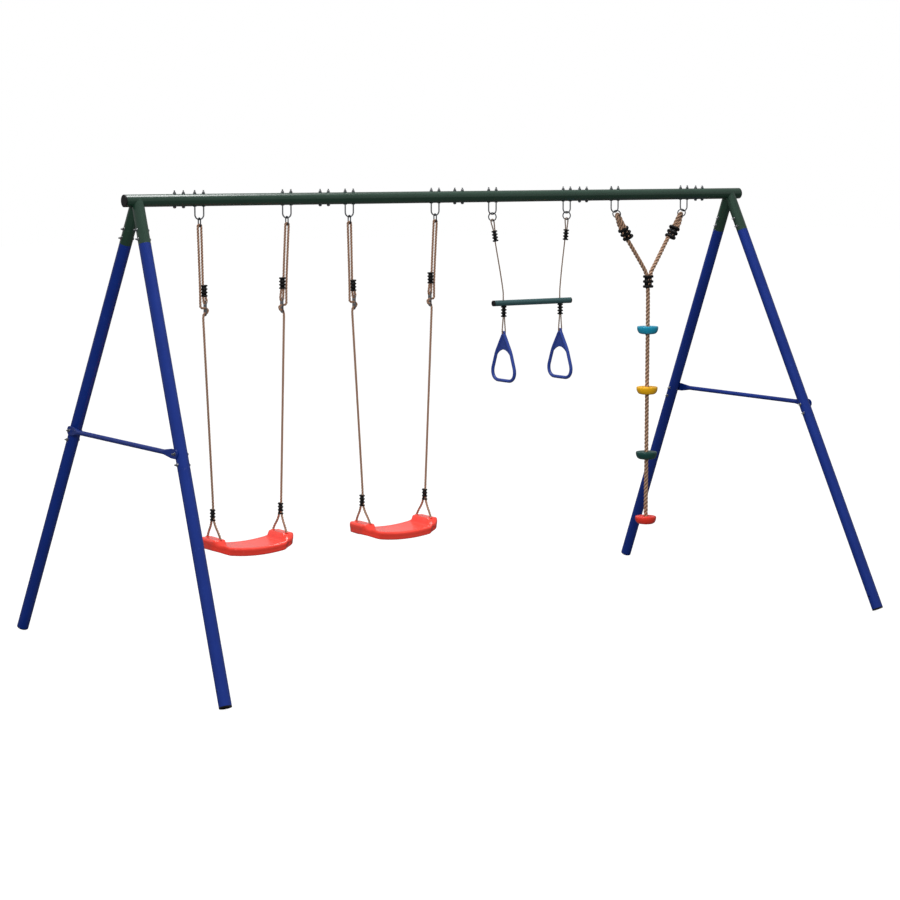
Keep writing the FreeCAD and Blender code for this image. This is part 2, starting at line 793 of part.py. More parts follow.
def swing_seat(name, centre_x):
    """a moulded board that sags between two raised ends, hollow underneath"""
    base = size("seat_base_height")
    axis_height = base + size("seat_sweep")

    def plan(tag, length, width, corner, shrink):
        """a rounded rectangle standing through the seat's whole height"""
        half_length = size(length) / 2 - shrink
        half_width = size(width) / 2 - shrink
        start = Vector(-half_length, -half_width, base - 2 * OVERCUT)
        box = block(tag, f"sizes.{length} - 2 * {shrink}", f"sizes.{width} - 2 * {shrink}",
                    "sizes.seat_ridge_height - sizes.seat_base_height + 4 * sizes.seat_wall",
                    Placement(start, Rotation()))
        rounded = doc.addObject("Part::Fillet", f"{tag}_rounded")
        rounded.Base = box
        radius = size(corner) - shrink
        rounded.Edges = [(edge, radius, radius) for edge in (1, 3, 5, 7)]
        return rounded

    def bowl(tag, radius):
        start = Vector(0, -size("seat_body_width"), axis_height)
        return rod(tag, radius, "2 * sizes.seat_body_width", Placement(start, TURNED["Y"]))

    def ridges(tag, shrink, top):
        blocks = []
        for side in (-1, 1):
            low = size("seat_hole_half_span") - size("seat_ridge_width") / 2 + shrink
            start_x = low if side > 0 else -low - size("seat_ridge_width")
            start = Vector(start_x, -size("seat_end_width") / 2 + shrink, base)
            blocks.append(block(f"{tag}_{side + 1}", "sizes.seat_ridge_width",
                                f"sizes.seat_end_width - 2 * {shrink}",
                                f"{top} - sizes.seat_base_height", Placement(start, Rotation())))
        return blocks

    wall = size("seat_wall")
    outline = fuse(f"{name}_outline", [
        plan(f"{name}_ends", "seat_length", "seat_end_width", "seat_end_corner", 0),
        plan(f"{name}_middle", "seat_body_length", "seat_body_width", "seat_body_corner", 0),
    ])
    shoulder_start = Vector(-size("seat_length"), -size("seat_body_width"), base - OVERCUT)
    shoulders = block(f"{name}_shoulders", "2 * sizes.seat_length", "2 * sizes.seat_body_width",
                      f"sizes.seat_shoulder_height - sizes.seat_base_height + {OVERCUT}",
                      Placement(shoulder_start, Rotation()))
    band = cut(f"{name}_band", common(f"{name}_low_bowl", [
        bowl(f"{name}_under", "sizes.seat_sweep"), shoulders,
    ]), [bowl(f"{name}_over", "sizes.seat_sweep - sizes.seat_depth")])
    raised = common(f"{name}_raised", [
        fuse(f"{name}_ridges", ridges(f"{name}_ridge", 0, "sizes.seat_ridge_height")),
        bowl(f"{name}_ridge_under", "sizes.seat_sweep"),
    ])
    solid = common(f"{name}_solid", [fuse(f"{name}_mass", [band, raised]), outline])

    inner = fuse(f"{name}_inner_outline", [
        plan(f"{name}_inner_ends", "seat_length", "seat_end_width", "seat_end_corner", wall),
        plan(f"{name}_inner_middle", "seat_body_length", "seat_body_width", "seat_body_corner", wall),
    ])
    below = cut(f"{name}_below", bowl(f"{name}_far", "sizes.seat_sweep + sizes.seat_depth"),
                [bowl(f"{name}_skin", "sizes.seat_sweep - sizes.seat_depth + sizes.seat_wall")])
    pockets = ridges(f"{name}_pocket", wall, "sizes.seat_ridge_height - sizes.seat_wall")
    hollow = common(f"{name}_hollow", [fuse(f"{name}_void", [below] + pockets), inner])

    holes = []
    for side in (-1, 1):
        for face in (-1, 1):
            start = Vector(side * size("seat_hole_half_span"),
                           face * size("seat_hole_half_pitch"), base)
            holes.append(rod(f"{name}_hole_{side + 1}_{face + 1}",
                             "sizes.swing_rope / 2 + sizes.seat_hole_clearance",
                             "sizes.seat_ridge_height - sizes.seat_base_height + sizes.seat_wall",
                             Placement(start, TURNED["Z"])))
    seat = cut(name, solid, [hollow] + holes)
    seat.Placement = Placement(Vector(centre_x, 0, 0), Rotation())
    return publish(seat, name)


SWING_LEAN = {"left": 0, "right": 7}
SWING_CLAMP_TOP = {"left": 1524, "right": 1544}


def swing(name):
    centre = size(f"{name}_center")
    links = []
    upper_clamps = []
    seat_clamps = []
    adjusters = []
    for side_name, side in SIDES.items():
        hang_x = HANGERS[name][side_name]
        hole_x = centre + side * size("seat_hole_half_span")
        links.append(link(f"{name}_link_{side_name}", hang_x))
        points, bends, marks = swing_rope_route(hang_x, -side, hole_x, SWING_LEAN[side_name],
                                                SWING_CLAMP_TOP[side_name])
        wire = rope(f"{name}_rope_{side_name}", points, bends, size("swing_rope"))
        body = (size("clamp_width"), size("clamp_thickness"), size("clamp_height"),
                size("clamp_rib"), 4)
        place = clamp_place(marks["upper_clamp"], Vector(0, 0, 1), Vector(1, 0, 0),
                            size("clamp_height"))
        upper_clamps.append(clamp(place, *body, [wire], size("swing_rope")))
        place = clamp_place(marks["seat_clamp"], Vector(0, 0, 1), Vector(0, 1, 0),
                            size("clamp_height"))
        seat_clamps.append(clamp(place, *body, [wire], size("swing_rope")))
        adjusters.append(adjuster(marks["adjuster"], marks["adjuster_low"]))
    publish(group(f"{name}_links", links), f"{name}_links")
    feature_group(f"{name}_upper_clamps", upper_clamps)
    feature_group(f"{name}_seat_clamps", seat_clamps)
    feature_group(f"{name}_adjusters", adjusters)
    swing_seat(f"{name}_seat", centre)


# ---- trapeze ----

def ring_normal(yaw):
    return Vector(math.sin(math.radians(yaw)), math.cos(math.radians(yaw)), 0)


def handle_shape(centre):
    """a teardrop grip across the beam with a web and an eyelet at its top"""
    grip = size("handle_grip")
    corners = [(0, 4), (57, -82), (107, -207.5), (-107, -207.5), (-57, -82)]
    radii = [10, 150, 44, 44, 150]
    outline = [Vector(0, across, up) for across, up in corners]
    start = (outline[-1] + outline[0]) / 2
    closed = [start] + outline + [start]
    loop = rope_wire("handle grip", closed, dict(enumerate(radii, start=1)))
    solid = tube_along(loop, grip / 2)
    web_corners = [Vector(0, 0, 4), Vector(0, 57, -82), Vector(0, 67, -106),
                   Vector(0, -67, -106), Vector(0, -57, -82), Vector(0, 0, 4)]
    web = Part.Face(Part.makePolygon(web_corners)).extrude(Vector(size("handle_web"), 0, 0))
    web.translate(Vector(-size("handle_web") / 2, 0, 0))
    arch_centre = Vector(-grip, 0, -64 - size("handle_arch"))
    arch = Part.makeCylinder(size("handle_arch"), 2 * grip, arch_centre, Vector(1, 0, 0))
    web = web.cut(arch)
    thick = size("handle_ear_thickness")
    ear = Part.makeCylinder(size("handle_ear_radius"), thick, Vector(-thick / 2, 0, 0),
                            Vector(1, 0, 0))
    neck = Part.makeBox(thick, 1.6 * size("handle_ear_radius"), 30,
                        Vector(-thick / 2, -0.8 * size("handle_ear_radius"), -30))
    bore = size("trapeze_rope") / 2 + size("handle_hole_clearance")
    hole = Part.makeCylinder(bore, 4 * thick, Vector(-2 * thick, 0, 0), Vector(1, 0, 0))
    body = solid.fuse([web, ear, neck])
    whole = body.removeSplitter()
    gap = Part.makeCylinder(size("handle_ear_radius") + 6, grip, Vector(thick / 2, 0, 0),
                            Vector(1, 0, 0))
    other = Part.makeCylinder(size("handle_ear_radius") + 6, grip, Vector(-thick / 2, 0, 0),
                              Vector(-1, 0, 0))
    whole = whole.cut(gap).cut(other).cut(hole)
    whole.translate(centre)
    return whole


def trapeze_rope_route(side, hang_x, hole_x):
    """from the upper clamp round the ring, down through the bar, and round the handle's eye"""
    half = size("trapeze_rope") / 2 + 0.1
    turn = 6.6
    ring_low = hanger_height() + link_center() - size("ring_diameter") + size("link_wire")
    down = (Vector(hole_x, 0, size("bar_height")) - Vector(hang_x, 0, ring_low)).normalize()
    across = Vector(-down.z, 0, down.x)
    start = Vector(hang_x, 0, ring_low)
    neck = 44
    length = size("clamp_height")
    eye = size("handle_hole_height") + 1.2
    low = size("bar_height") - size("bar_diameter") / 2 - size("seating_gap")
    gap = size("handle_ear_thickness") / 2 + size("trapeze_rope") / 2 + 0.5
    points = [
        start + down * (neck + length - 2) + across * (2 * half),
        start + down * (neck - 2) + across * (2 * half),
        start + down * 6 + across * (turn + 2),
        start - down * turn + across * turn,
        start - down * turn - across * turn,
        start + down * 6 - across * (turn + 2),
        start + down * (neck - 2),
        Vector(hole_x, 0, size("bar_height") + size("bar_diameter")),
        Vector(hole_x, 0, low - length - 2),
        Vector(hole_x + half - gap, 0, eye + 14),
        Vector(hole_x + half - gap, 0, eye),
        Vector(hole_x + half + gap, 0, eye),
        Vector(hole_x + half + gap, 0, eye + 14),
        Vector(hole_x + 2 * half, 0, low - length - 2),
        Vector(hole_x + 2 * half, 0, low - 2),
    ]
    bends = {3: turn - 0.1, 4: turn - 0.1, 7: 120, 10: 3.6, 11: 3.6}
    marks = {
        "upper_clamp": start + down * (neck + length / 2) + across * half,
        "down": down,
        "across": across,
        "lower_clamp": Vector(hole_x + half, 0, low - length / 2),
        "handle": Vector(hole_x + half, 0, size("handle_hole_height")),
    }
    return points, bends, marks


def trapeze():
    rings = []
    upper_clamps = []
    lower_clamps = []
    holes = []
    length = size("clamp_height")
    ring_drop = (size("ring_diameter") - size("link_wire")) / 2
    body = (size("trapeze_clamp_width"), size("trapeze_clamp_thickness"), length,
            size("clamp_rib"), 4)
    for side_name, side in SIDES.items():
        hang_x = HANGERS["trapeze"][side_name]
        half = size("trapeze_rope") / 2 + 0.1
        hole_x = size("bar_center") + side * size("bar_hole_half_span") - half
        centre = Vector(hang_x, 0, hanger_height() + link_center() - ring_drop)
        rings.append(ring(f"trapeze_ring_{side_name}", centre, ring_normal(56)))
        points, bends, marks = trapeze_rope_route(side, hang_x, hole_x)
        wire = rope(f"trapeze_rope_{side_name}", points, bends, size("trapeze_rope"))
        place = clamp_place(marks["upper_clamp"], marks["down"] * -1, marks["across"], length)
        upper_clamps.append(clamp(place, *body, [wire], size("trapeze_rope")))
        place = clamp_place(marks["lower_clamp"], Vector(0, 0, 1), Vector(1, 0, 0), length)
        lower_clamps.append(clamp(place, *body, [wire], size("trapeze_rope")))
        drill_start = Vector(hole_x, 0, size("bar_height") - size("bar_diameter"))
        holes.append(rod(f"trapeze_bar_hole_{side_name}",
                         "sizes.trapeze_rope / 2 + sizes.bar_hole_clearance",
                         "2 * sizes.bar_diameter", Placement(drill_start, TURNED["Z"])))
        handle = doc.addObject("Part::Feature", f"ring_handle_{side_name}")
        handle.Shape = handle_shape(marks["handle"])
        publish(handle, f"ring_handle_{side_name}")
    publish(group("trapeze_rings", rings), "trapeze_rings")
    feature_group("trapeze_upper_clamps", upper_clamps)
    feature_group("trapeze_lower_clamps", lower_clamps)

    start = Vector(size("bar_center") - size("bar_length") / 2, 0, size("bar_height"))
    tube_start = start + Vector(size("bar_cap_flange"), 0, 0)
    tube_run = "sizes.bar_length - 2 * sizes.bar_cap_flange"
    outer = rod("trapeze_bar_outer", "sizes.bar_diameter / 2", tube_run,
                Placement(tube_start, TURNED["X"]))
    inner = rod("trapeze_bar_inner", "sizes.bar_diameter / 2 - sizes.bar_wall", tube_run,
                Placement(tube_start, TURNED["X"]))
    publish(cut("trapeze_bar", outer, [inner] + holes), "trapeze_bar")

    caps = []
    for side in (-1, 1):
        barrel = "sizes.bar_diameter / 2 - sizes.bar_wall - sizes.tube_fit"
        cap = turned_body(f"trapeze_bar_cap_{side + 1}", [
            ("0", "0"),
            ("sizes.bar_diameter / 2", "0"),
            ("sizes.bar_diameter / 2", "sizes.bar_cap_flange"),
            (barrel, "sizes.bar_cap_flange"),
            (barrel, "4 * sizes.bar_cap_flange"),
            ("0", "4 * sizes.bar_cap_flange"),
        ])
        end = Vector(size("bar_center") + side * size("bar_length") / 2, 0, size("bar_height"))
        cap.Placement = Placement(end, Rotation(Vector(0, 0, 1), Vector(-side, 0, 0)))
        caps.append(cap)
    publish(group("trapeze_bar_caps", caps), "trapeze_bar_caps")


# ---- climbing rope ----

RING_CLIMB = 20
RING_PULL = 30
RING_TURN = 50


def climber_ring_frame(side):
    """centre, pull direction and normal of a ring drawn inwards along its U-bolt's bend"""
    climb = math.radians(RING_CLIMB)
    pull = math.radians(RING_PULL)
    turn = math.radians(RING_TURN)
    bend = size("u_bolt_width") / 2
    hang = (size("ring_diameter") - size("link_wire")) / 2 - link_center()
    offset = bend * math.sin(climb) + hang * math.sin(pull)
    drop = bend * (1 - math.cos(climb)) - hang * math.cos(pull)
    centre_name = "left" if side < 0 else "right"
    centre = Vector(HANGERS["climber"][centre_name] - side * offset, 0, hanger_height() + drop)
    direction = Vector(-side * math.sin(pull), 0, -math.cos(pull))
    normal = Vector(math.cos(pull) * math.sin(turn), math.cos(turn),
                    -side * math.sin(pull) * math.sin(turn))
    return centre, direction, normal


def climber_branch(side):
    """points of one arm, from the end of its eye's tail to just above the junction clamp"""
    half = size("climbing_rope") / 2 + 0.2
    turn = (size("climbing_rope") + size("link_wire")) / 2 + 0.4
    centre, pull, normal = climber_ring_frame(side)
    low = centre + pull * ((size("ring_diameter") - size("link_wire")) / 2)
    junction = Vector(size("climber_rope_x") + side * half, 0, 1510)
    clamp_middle = low + pull * 76
    down = (junction - clamp_middle).normalize()
    tail = down.cross(normal).normalize() * (2 * half)
    strand = clamp_middle - down * 30
    return [
        clamp_middle + down * 27 + tail * 0.5,
        strand + tail * 0.5,
        low + pull * 8 + normal * turn,
        low - pull * turn + normal * turn,
        low - pull * turn - normal * turn,
        low + pull * 8 - normal * turn,
        strand - tail * 0.5,
        clamp_middle + down * 38 - tail * 0.5,
    ], clamp_middle, down, tail, turn


def climber():
    rings = []
    clamps = []
    wires = []
    half = size("climbing_rope") / 2 + 0.2
    length = size("climber_clamp_height")
    junction_low = 1438
    disc_bottom = size("disc_4_height") - size("disc_height")
    for side_name, side in SIDES.items():
        centre, pull, normal = climber_ring_frame(side)
        rings.append(ring(f"climber_ring_{side_name}", centre, normal))
        points, middle, down, across, turn = climber_branch(side)
        rope_x = size("climber_rope_x")
        if side < 0:
            points += [
                Vector(rope_x - half, 0, 1500),
                Vector(rope_x - half, 0, junction_low),
                Vector(rope_x, 0, junction_low - 90),
                Vector(rope_x, 0, disc_bottom + 6),
            ]
            label = "climbing_rope_main"
        else:
            points += [
                Vector(rope_x + half, 0, 1500),
                Vector(rope_x + half, 0, junction_low + 2),
            ]
            label = "climbing_rope_branch"
        bends = {3: turn - 0.2, 4: turn - 0.2}
        wire = rope(label, points, bends, size("climbing_rope"))
        wires.append(wire)
        place = clamp_place(middle, down * -1, across, length)
        clamps.append(clamp(place, size("climber_clamp_width"), size("climber_clamp_thickness"),
                            length, size("climber_clamp_rib"), 3, [wire],
                            size("climbing_rope")))
    publish(group("climber_rings", rings), "climber_rings")
    feature_group("climber_upper_clamps", clamps)
    place = Placement(Vector(size("climber_rope_x"), 0, junction_low), Rotation())
    junction = clamp(place, size("climber_clamp_width"), size("climber_clamp_thickness"), length,
                     size("climber_clamp_rib"), 3, wires, size("climbing_rope"))
    feature_group("climber_junction_clamp", [junction])
    for index in range(4):
        foot_disc(index)


def foot_disc(index):
    """a round plastic step: flat on top, dished underneath, with a boss round the rope"""
    edge = "sizes.disc_diameter / 2"
    bore = "sizes.climbing_rope / 2 + sizes.rope_gap"
    boss = "sizes.disc_boss / 2"
    name = f"foot_disc_{index + 1}"
    body = turned_body(name, [
        (bore, "0"),
        (boss, "0"),
        (boss, "0.1 * sizes.disc_height"),
        (f"0.56 * {edge}", "0.12 * sizes.disc_height"),
        (f"0.8 * {edge}", "0.25 * sizes.disc_height"),
        (f"0.94 * {edge}", "0.47 * sizes.disc_height"),
        (edge, "0.74 * sizes.disc_height"),
        (edge, "sizes.disc_height - 2"),
        (f"{edge} - 2", "sizes.disc_height"),
        (bore, "sizes.disc_height"),
    ])
    top = size(f"{name}_height".replace("foot_", ""))
    lift = Vector(size("climber_rope_x"), 0, top - size("disc_height"))
    body.Placement = Placement(lift, Rotation())
    publish(body, name)


# ---- cross brace ----

def brace(side_name):
    """a round tube whose ends are pressed flat and bolted to the outside of both legs"""
    side = SIDES[side_name]
    apex, down, normal = leg_axes(side, 1)
    reach = size("leg_bolt_reach")
    flat = size("brace_flat_thickness")
    out = size("tube_diameter") / 2 + size("seat_gap") + flat / 2
    middle = apex + down * reach + normal * (side * out)
    half_span = middle.y
    middle.y = 0
    turn = Rotation(normal.cross(Vector(0, 1, 0)) * -1, normal * -1, Vector(0, 1, 0), "ZXY")
    width = size("brace_flat_width")
    radius = size("brace_diameter") / 2
    flat_run = size("brace_flat_length")
    flare = size("brace_flare_length")
    tube_half = half_span - flat_run - flare

    def at(lift):
        return Placement(Vector(0, 0, lift), Rotation())

    shape = stadium(2 * radius + 0.02, 2 * radius, 2 * tube_half, at(-tube_half))
    hollow = Part.makeCylinder(radius - size("tube_wall"), 2 * tube_half,
                               Vector(0, 0, -tube_half))
    for face in (-1, 1):
        round_end = stadium(2 * radius + 0.02, 2 * radius, 1, at(face * tube_half))
        flat_end = stadium(width, flat, 1, at(face * (tube_half + flare)))
        wires = [min(solid.Faces, key=lambda item: item.CenterOfMass.z).OuterWire
                 for solid in (round_end, flat_end)]
        shape = shape.fuse(Part.makeLoft(wires, True, True))
        low = tube_half + flare
        plate_start = face * low if face > 0 else -low - flat_run
        plate = stadium(width, flat, flat_run, at(plate_start))
        tip = Part.makeCylinder(width / 2, flat, Vector(0, -flat / 2, face * half_span),
                                Vector(0, 1, 0))
        hole = Part.makeCylinder((size("bolt_diameter") + size("hole_clearance")) / 2, 4 * flat,
                                 Vector(0, -2 * flat, face * half_span), Vector(0, 1, 0))
        shape = shape.fuse([plate, tip]).cut(hole)
    item = doc.addObject("Part::Feature", f"cross_brace_{side_name}")
    item.Shape = shape.removeSplitter().cut(hollow)
    item.Placement = Placement(middle, turn)
    publish(item, f"cross_brace_{side_name}")


# ---- the whole swing set ----

def build():
    beam_end("beam_end_left", -1)
    for index in range(4):
        beam_tube(f"beam_tube_{index + 1}", index)
    beam_end("beam_end_right", 1)
    caps = []
    plugs = []
    for side_name, side in SIDES.items():
        end = Vector(side * (size("beam_half_length") + size("cap_flange")), 0,
                     size("beam_height"))
        place = Placement(end, Rotation(Vector(0, 0, 1), Vector(-side, 0, 0)))
        caps.append(plug(f"beam_cap_{side_name}", "sizes.cap_flange", place))
        for face_name, face in FACES.items():
            leg(side_name, face_name)
            apex, down, normal = leg_axes(side, face)
            foot = Placement(apex + down * leg_length(), Rotation(Vector(0, 0, 1), down * -1))
            plugs.append(plug(f"foot_{side_name}_{face_name}", "sizes.plug_flange", foot))
        brace(side_name)
    publish(group("beam_caps", caps), "beam_caps")
    publish(group("foot_plugs", plugs), "foot_plugs")
    beam_joint_fasteners()
    saddle_washers()
    leg_fasteners()
    for hanger, pair in HANGERS.items():
        bolts = [u_bolt(f"{hanger}_u_bolt_{side_name}", reach)
                 for side_name, reach in pair.items()]
        publish(group(f"{hanger}_u_bolts", bolts), f"{hanger}_u_bolts")
    swing("swing_1")
    swing("swing_2")
    trapeze()
    climber()


build()
doc.recompute()
for item in doc.Objects:
    if "Invalid" in item.State or "Error" in item.State:
        raise ValueError(f"{item.Label} failed to build: {item.State}")
for node in nodes:
    if node.Shape.isNull() or not node.Shape.isValid():
        raise ValueError(f"{node.Label} has no valid shape")

os.makedirs("parts", exist_ok=True)
for node in nodes:
    node.Shape.exportStep(f"parts/{node.Label}.step")
    print(f"{node.Label}: {len(node.Shape.Solids)} solids, {node.Shape.Volume:.0f} mm3")
print(f"{len(nodes)} nodes")
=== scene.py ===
import math

import bmesh
import bpy
from mathutils import Matrix, Vector, kdtree


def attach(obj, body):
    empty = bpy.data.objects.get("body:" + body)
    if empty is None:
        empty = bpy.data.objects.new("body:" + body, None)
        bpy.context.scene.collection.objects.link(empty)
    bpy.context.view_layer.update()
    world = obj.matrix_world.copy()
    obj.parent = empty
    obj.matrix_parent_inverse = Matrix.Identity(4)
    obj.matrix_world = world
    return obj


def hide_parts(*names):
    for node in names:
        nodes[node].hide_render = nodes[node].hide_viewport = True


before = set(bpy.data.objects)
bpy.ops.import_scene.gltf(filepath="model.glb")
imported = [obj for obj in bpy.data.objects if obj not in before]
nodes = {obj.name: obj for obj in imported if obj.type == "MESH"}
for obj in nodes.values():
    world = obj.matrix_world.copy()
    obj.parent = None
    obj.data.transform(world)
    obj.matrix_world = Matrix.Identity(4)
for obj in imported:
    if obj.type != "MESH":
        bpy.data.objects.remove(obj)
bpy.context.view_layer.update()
scene = bpy.context.scene


# Camera, floor and lights

view = {
    "place": (-5.7574, -8.3460, 2.0497),
    "heading": 34.39,  # degrees from +Y towards +X
    "tilt": -7.248,
    "lens": 93.09,
    "sensorWidth": 36,
}


def makeCamera():
    heading = math.radians(view["heading"])
    tilt = math.radians(view["tilt"])
    aim = Vector((math.sin(heading) * math.cos(tilt), math.cos(heading) * math.cos(tilt),
                  math.sin(tilt)))
    data = bpy.data.cameras.new("viewCamera")
    data.lens = view["lens"]
    data.sensor_width = view["sensorWidth"]
    camera = bpy.data.objects.new("viewCamera", data)
    camera.location = view["place"]
    camera.rotation_mode = "QUATERNION"
    camera.rotation_quaternion = aim.to_track_quat("-Z", "Y")
    scene.collection.objects.link(camera)
    scene.camera = camera


studio = {
    "floorReach": 40,
    "floorColor": (0.10, 0.10, 0.10, 1),
    "floorRoughness": 0.85,
    "backdrop": 1.0,
    "skylight": 0.42,
    "floorGlow": 0.96,
    "lamps": [
        # name, place, aim, size, watts, whether glossy finishes mirror it
        ("overheadLamp", (0.0, 0.4, 6.5), (0, 0, 1.0), 3.0, 330, True),
        ("frontLamp", (-8.0, -8.0, 5.0), (0, 0, 1.0), 5.0, 760, False),
        ("backLamp", (6.0, 8.0, 4.0), (0, 0, 1.0), 5.0, 200, False),
    ],
}


def makeStudio():
    world = bpy.data.worlds.new("studioWorld")
    world.use_nodes = True
    tree = world.node_tree
    sky = tree.nodes["Background"]
    sky.inputs["Color"].default_value = (1, 1, 1, 1)
    rays = tree.nodes.new("ShaderNodeLightPath")
    tree.links.new(mapRange(tree, rays.outputs["Is Camera Ray"], studio["skylight"],
                            studio["backdrop"]), sky.inputs["Strength"])
    scene.world = world
    for name, place, aim, size, watts, mirrored in studio["lamps"]:
        data = bpy.data.lights.new(name, "AREA")
        data.size = size
        data.energy = watts
        lamp = bpy.data.objects.new(name, data)
        lamp.visible_glossy = mirrored
        lamp.location = place
        lamp.rotation_euler = (Vector(aim) - Vector(place)).to_track_quat("-Z", "Y").to_euler()
        scene.collection.objects.link(lamp)
    bm = bmesh.new()
    bmesh.ops.create_grid(bm, x_segments=1, y_segments=1, size=studio["floorReach"])
    floor = meshPiece("studioFloor", bm)
    material = bpy.data.materials.new("studioFloor")
    material.use_nodes = True
    tree = material.node_tree
    shader = tree.nodes["Principled BSDF"]
    shader.inputs["Base Color"].default_value = studio["floorColor"]
    shader.inputs["Roughness"].default_value = studio["floorRoughness"]
    shader.inputs["Emission Color"].default_value = (1, 1, 1, 1)
    rays = tree.nodes.new("ShaderNodeLightPath")
    tree.links.new(mapRange(tree, rays.outputs["Is Camera Ray"], 0, studio["floorGlow"]),
                   shader.inputs["Emission Strength"])
    floor.data.materials.append(material)
    scene.view_settings.view_transform = "Standard"


def linkPiece(name, mesh, smooth=True):
    piece = bpy.data.objects.new(name, mesh)
    scene.collection.objects.link(piece)
    for face in mesh.polygons:
        face.use_smooth = smooth
    return piece


def meshPiece(name, bm, smooth=True):
    mesh = bpy.data.meshes.new(name)
    bm.to_mesh(mesh)
    bm.free()
    return linkPiece(name, mesh, smooth)


def joinMesh(whole, mesh):
    whole.from_mesh(mesh)
    bpy.data.meshes.remove(mesh)


def joinPart(whole, part):
    # adds a part to a piece that is made of several
    single = bpy.data.meshes.new("part")
    part.to_mesh(single)
    part.free()
    joinMesh(whole, single)


def finishPiece(piece, finish, slotName, body, *replaced):
    piece.data.materials.clear()
    piece.data.materials.append(materials[finish])
    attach(piece, body)
    if replaced:
        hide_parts(*replaced)


# Shared shader groups

def newGroup(name, inputs, outputs):
    group = bpy.data.node_groups.new(name, "ShaderNodeTree")
    for label, value in inputs:
        socket = group.interface.new_socket(label, in_out="INPUT", socket_type="NodeSocketFloat")
        socket.default_value = value
    for label in outputs:
        group.interface.new_socket(label, in_out="OUTPUT", socket_type="NodeSocketFloat")
    return group, group.nodes.new("NodeGroupInput"), group.nodes.new("NodeGroupOutput")


def addNoise(group, source, scaleInput, vector, detail):
    noise = group.nodes.new("ShaderNodeTexNoise")
    noise.inputs["Detail"].default_value = detail
    group.links.new(vector, noise.inputs["Vector"])
    group.links.new(source.outputs[scaleInput], noise.inputs["Scale"])
    return noise


def mapRange(tree, value, low, high, end="To"):
    # spreads a value to a range, or from one
    spread = tree.nodes.new("ShaderNodeMapRange")
    spread.inputs[f"{end} Min"].default_value = low
    spread.inputs[f"{end} Max"].default_value = high
    tree.links.new(value, spread.inputs["Value"])
    return spread.outputs["Result"]


def makeMottleGroup():
    # slow tone drift, fine grain, and sparse scuffs for any hard finish
    group, source, sink = newGroup(
        "surfaceMottle", [("Drift Scale", 6.0), ("Grain Scale", 900.0), ("Scuff Scale", 40.0)],
        ["Drift", "Grain", "Scuff"])
    place = group.nodes.new("ShaderNodeTexCoord").outputs["Object"]
    link = group.links.new
    drift = addNoise(group, source, "Drift Scale", place, 4)
    link(drift.outputs["Fac"], sink.inputs["Drift"])
    grain = addNoise(group, source, "Grain Scale", place, 2)
    link(grain.outputs["Fac"], sink.inputs["Grain"])
    scuff = addNoise(group, source, "Scuff Scale", place, 6)
    scuff.inputs["Roughness"].default_value = 0.7
    link(mapRange(group, scuff.outputs["Fac"], 0.62, 0.74, "From"), sink.inputs["Scuff"])
    return group


def makeFibreGroup():
    # yarn streaks and loose fibre for rope strands
    group, source, sink = newGroup(
        "ropeFibre", [("Yarn Scale", 700.0), ("Patch Scale", 25.0)], ["Yarn", "Patch"])
    place = group.nodes.new("ShaderNodeTexCoord").outputs["Object"]
    stretch = group.nodes.new("ShaderNodeMapping")
    stretch.inputs["Scale"].default_value = (1, 1, 0.25)
    group.links.new(place, stretch.inputs["Vector"])
    yarn = addNoise(group, source, "Yarn Scale", stretch.outputs["Vector"], 3)
    group.links.new(yarn.outputs["Fac"], sink.inputs["Yarn"])
    patch = addNoise(group, source, "Patch Scale", place, 3)
    group.links.new(patch.outputs["Fac"], sink.inputs["Patch"])
    return group


def srgb(*tone):
    return tuple((channel / 255) ** 2.2 for channel in tone) + (1,)


paintLook = {"metallic": 0.0, "bump": 0.05, "grain": 1300}
metalLook = {"metallic": 1.0, "coat": 0.0, "specular": 0.5, "bump": 0.06, "grain": 1800}
plasticLook = {"roughness": (0.3, 0.42), "metallic": 0.0, "coat": 0.1, "specular": 0.4,
               "bump": 0.05, "grain": 1600}
# the last spread is the share of the crown over which the painted shade in the grooves fades into
# the yarn's tone
ropeLook = {"sheen": 0.1, "bump": 0.5, "roughness": (0.7, 0.95), "yarnSpread": (0.3, 0.75),
            "grooveShadeSpread": (0.60, 1.0)}
bumpDepth = 0.001
coatRoughness = 0.2
scuffStrength = 0.35

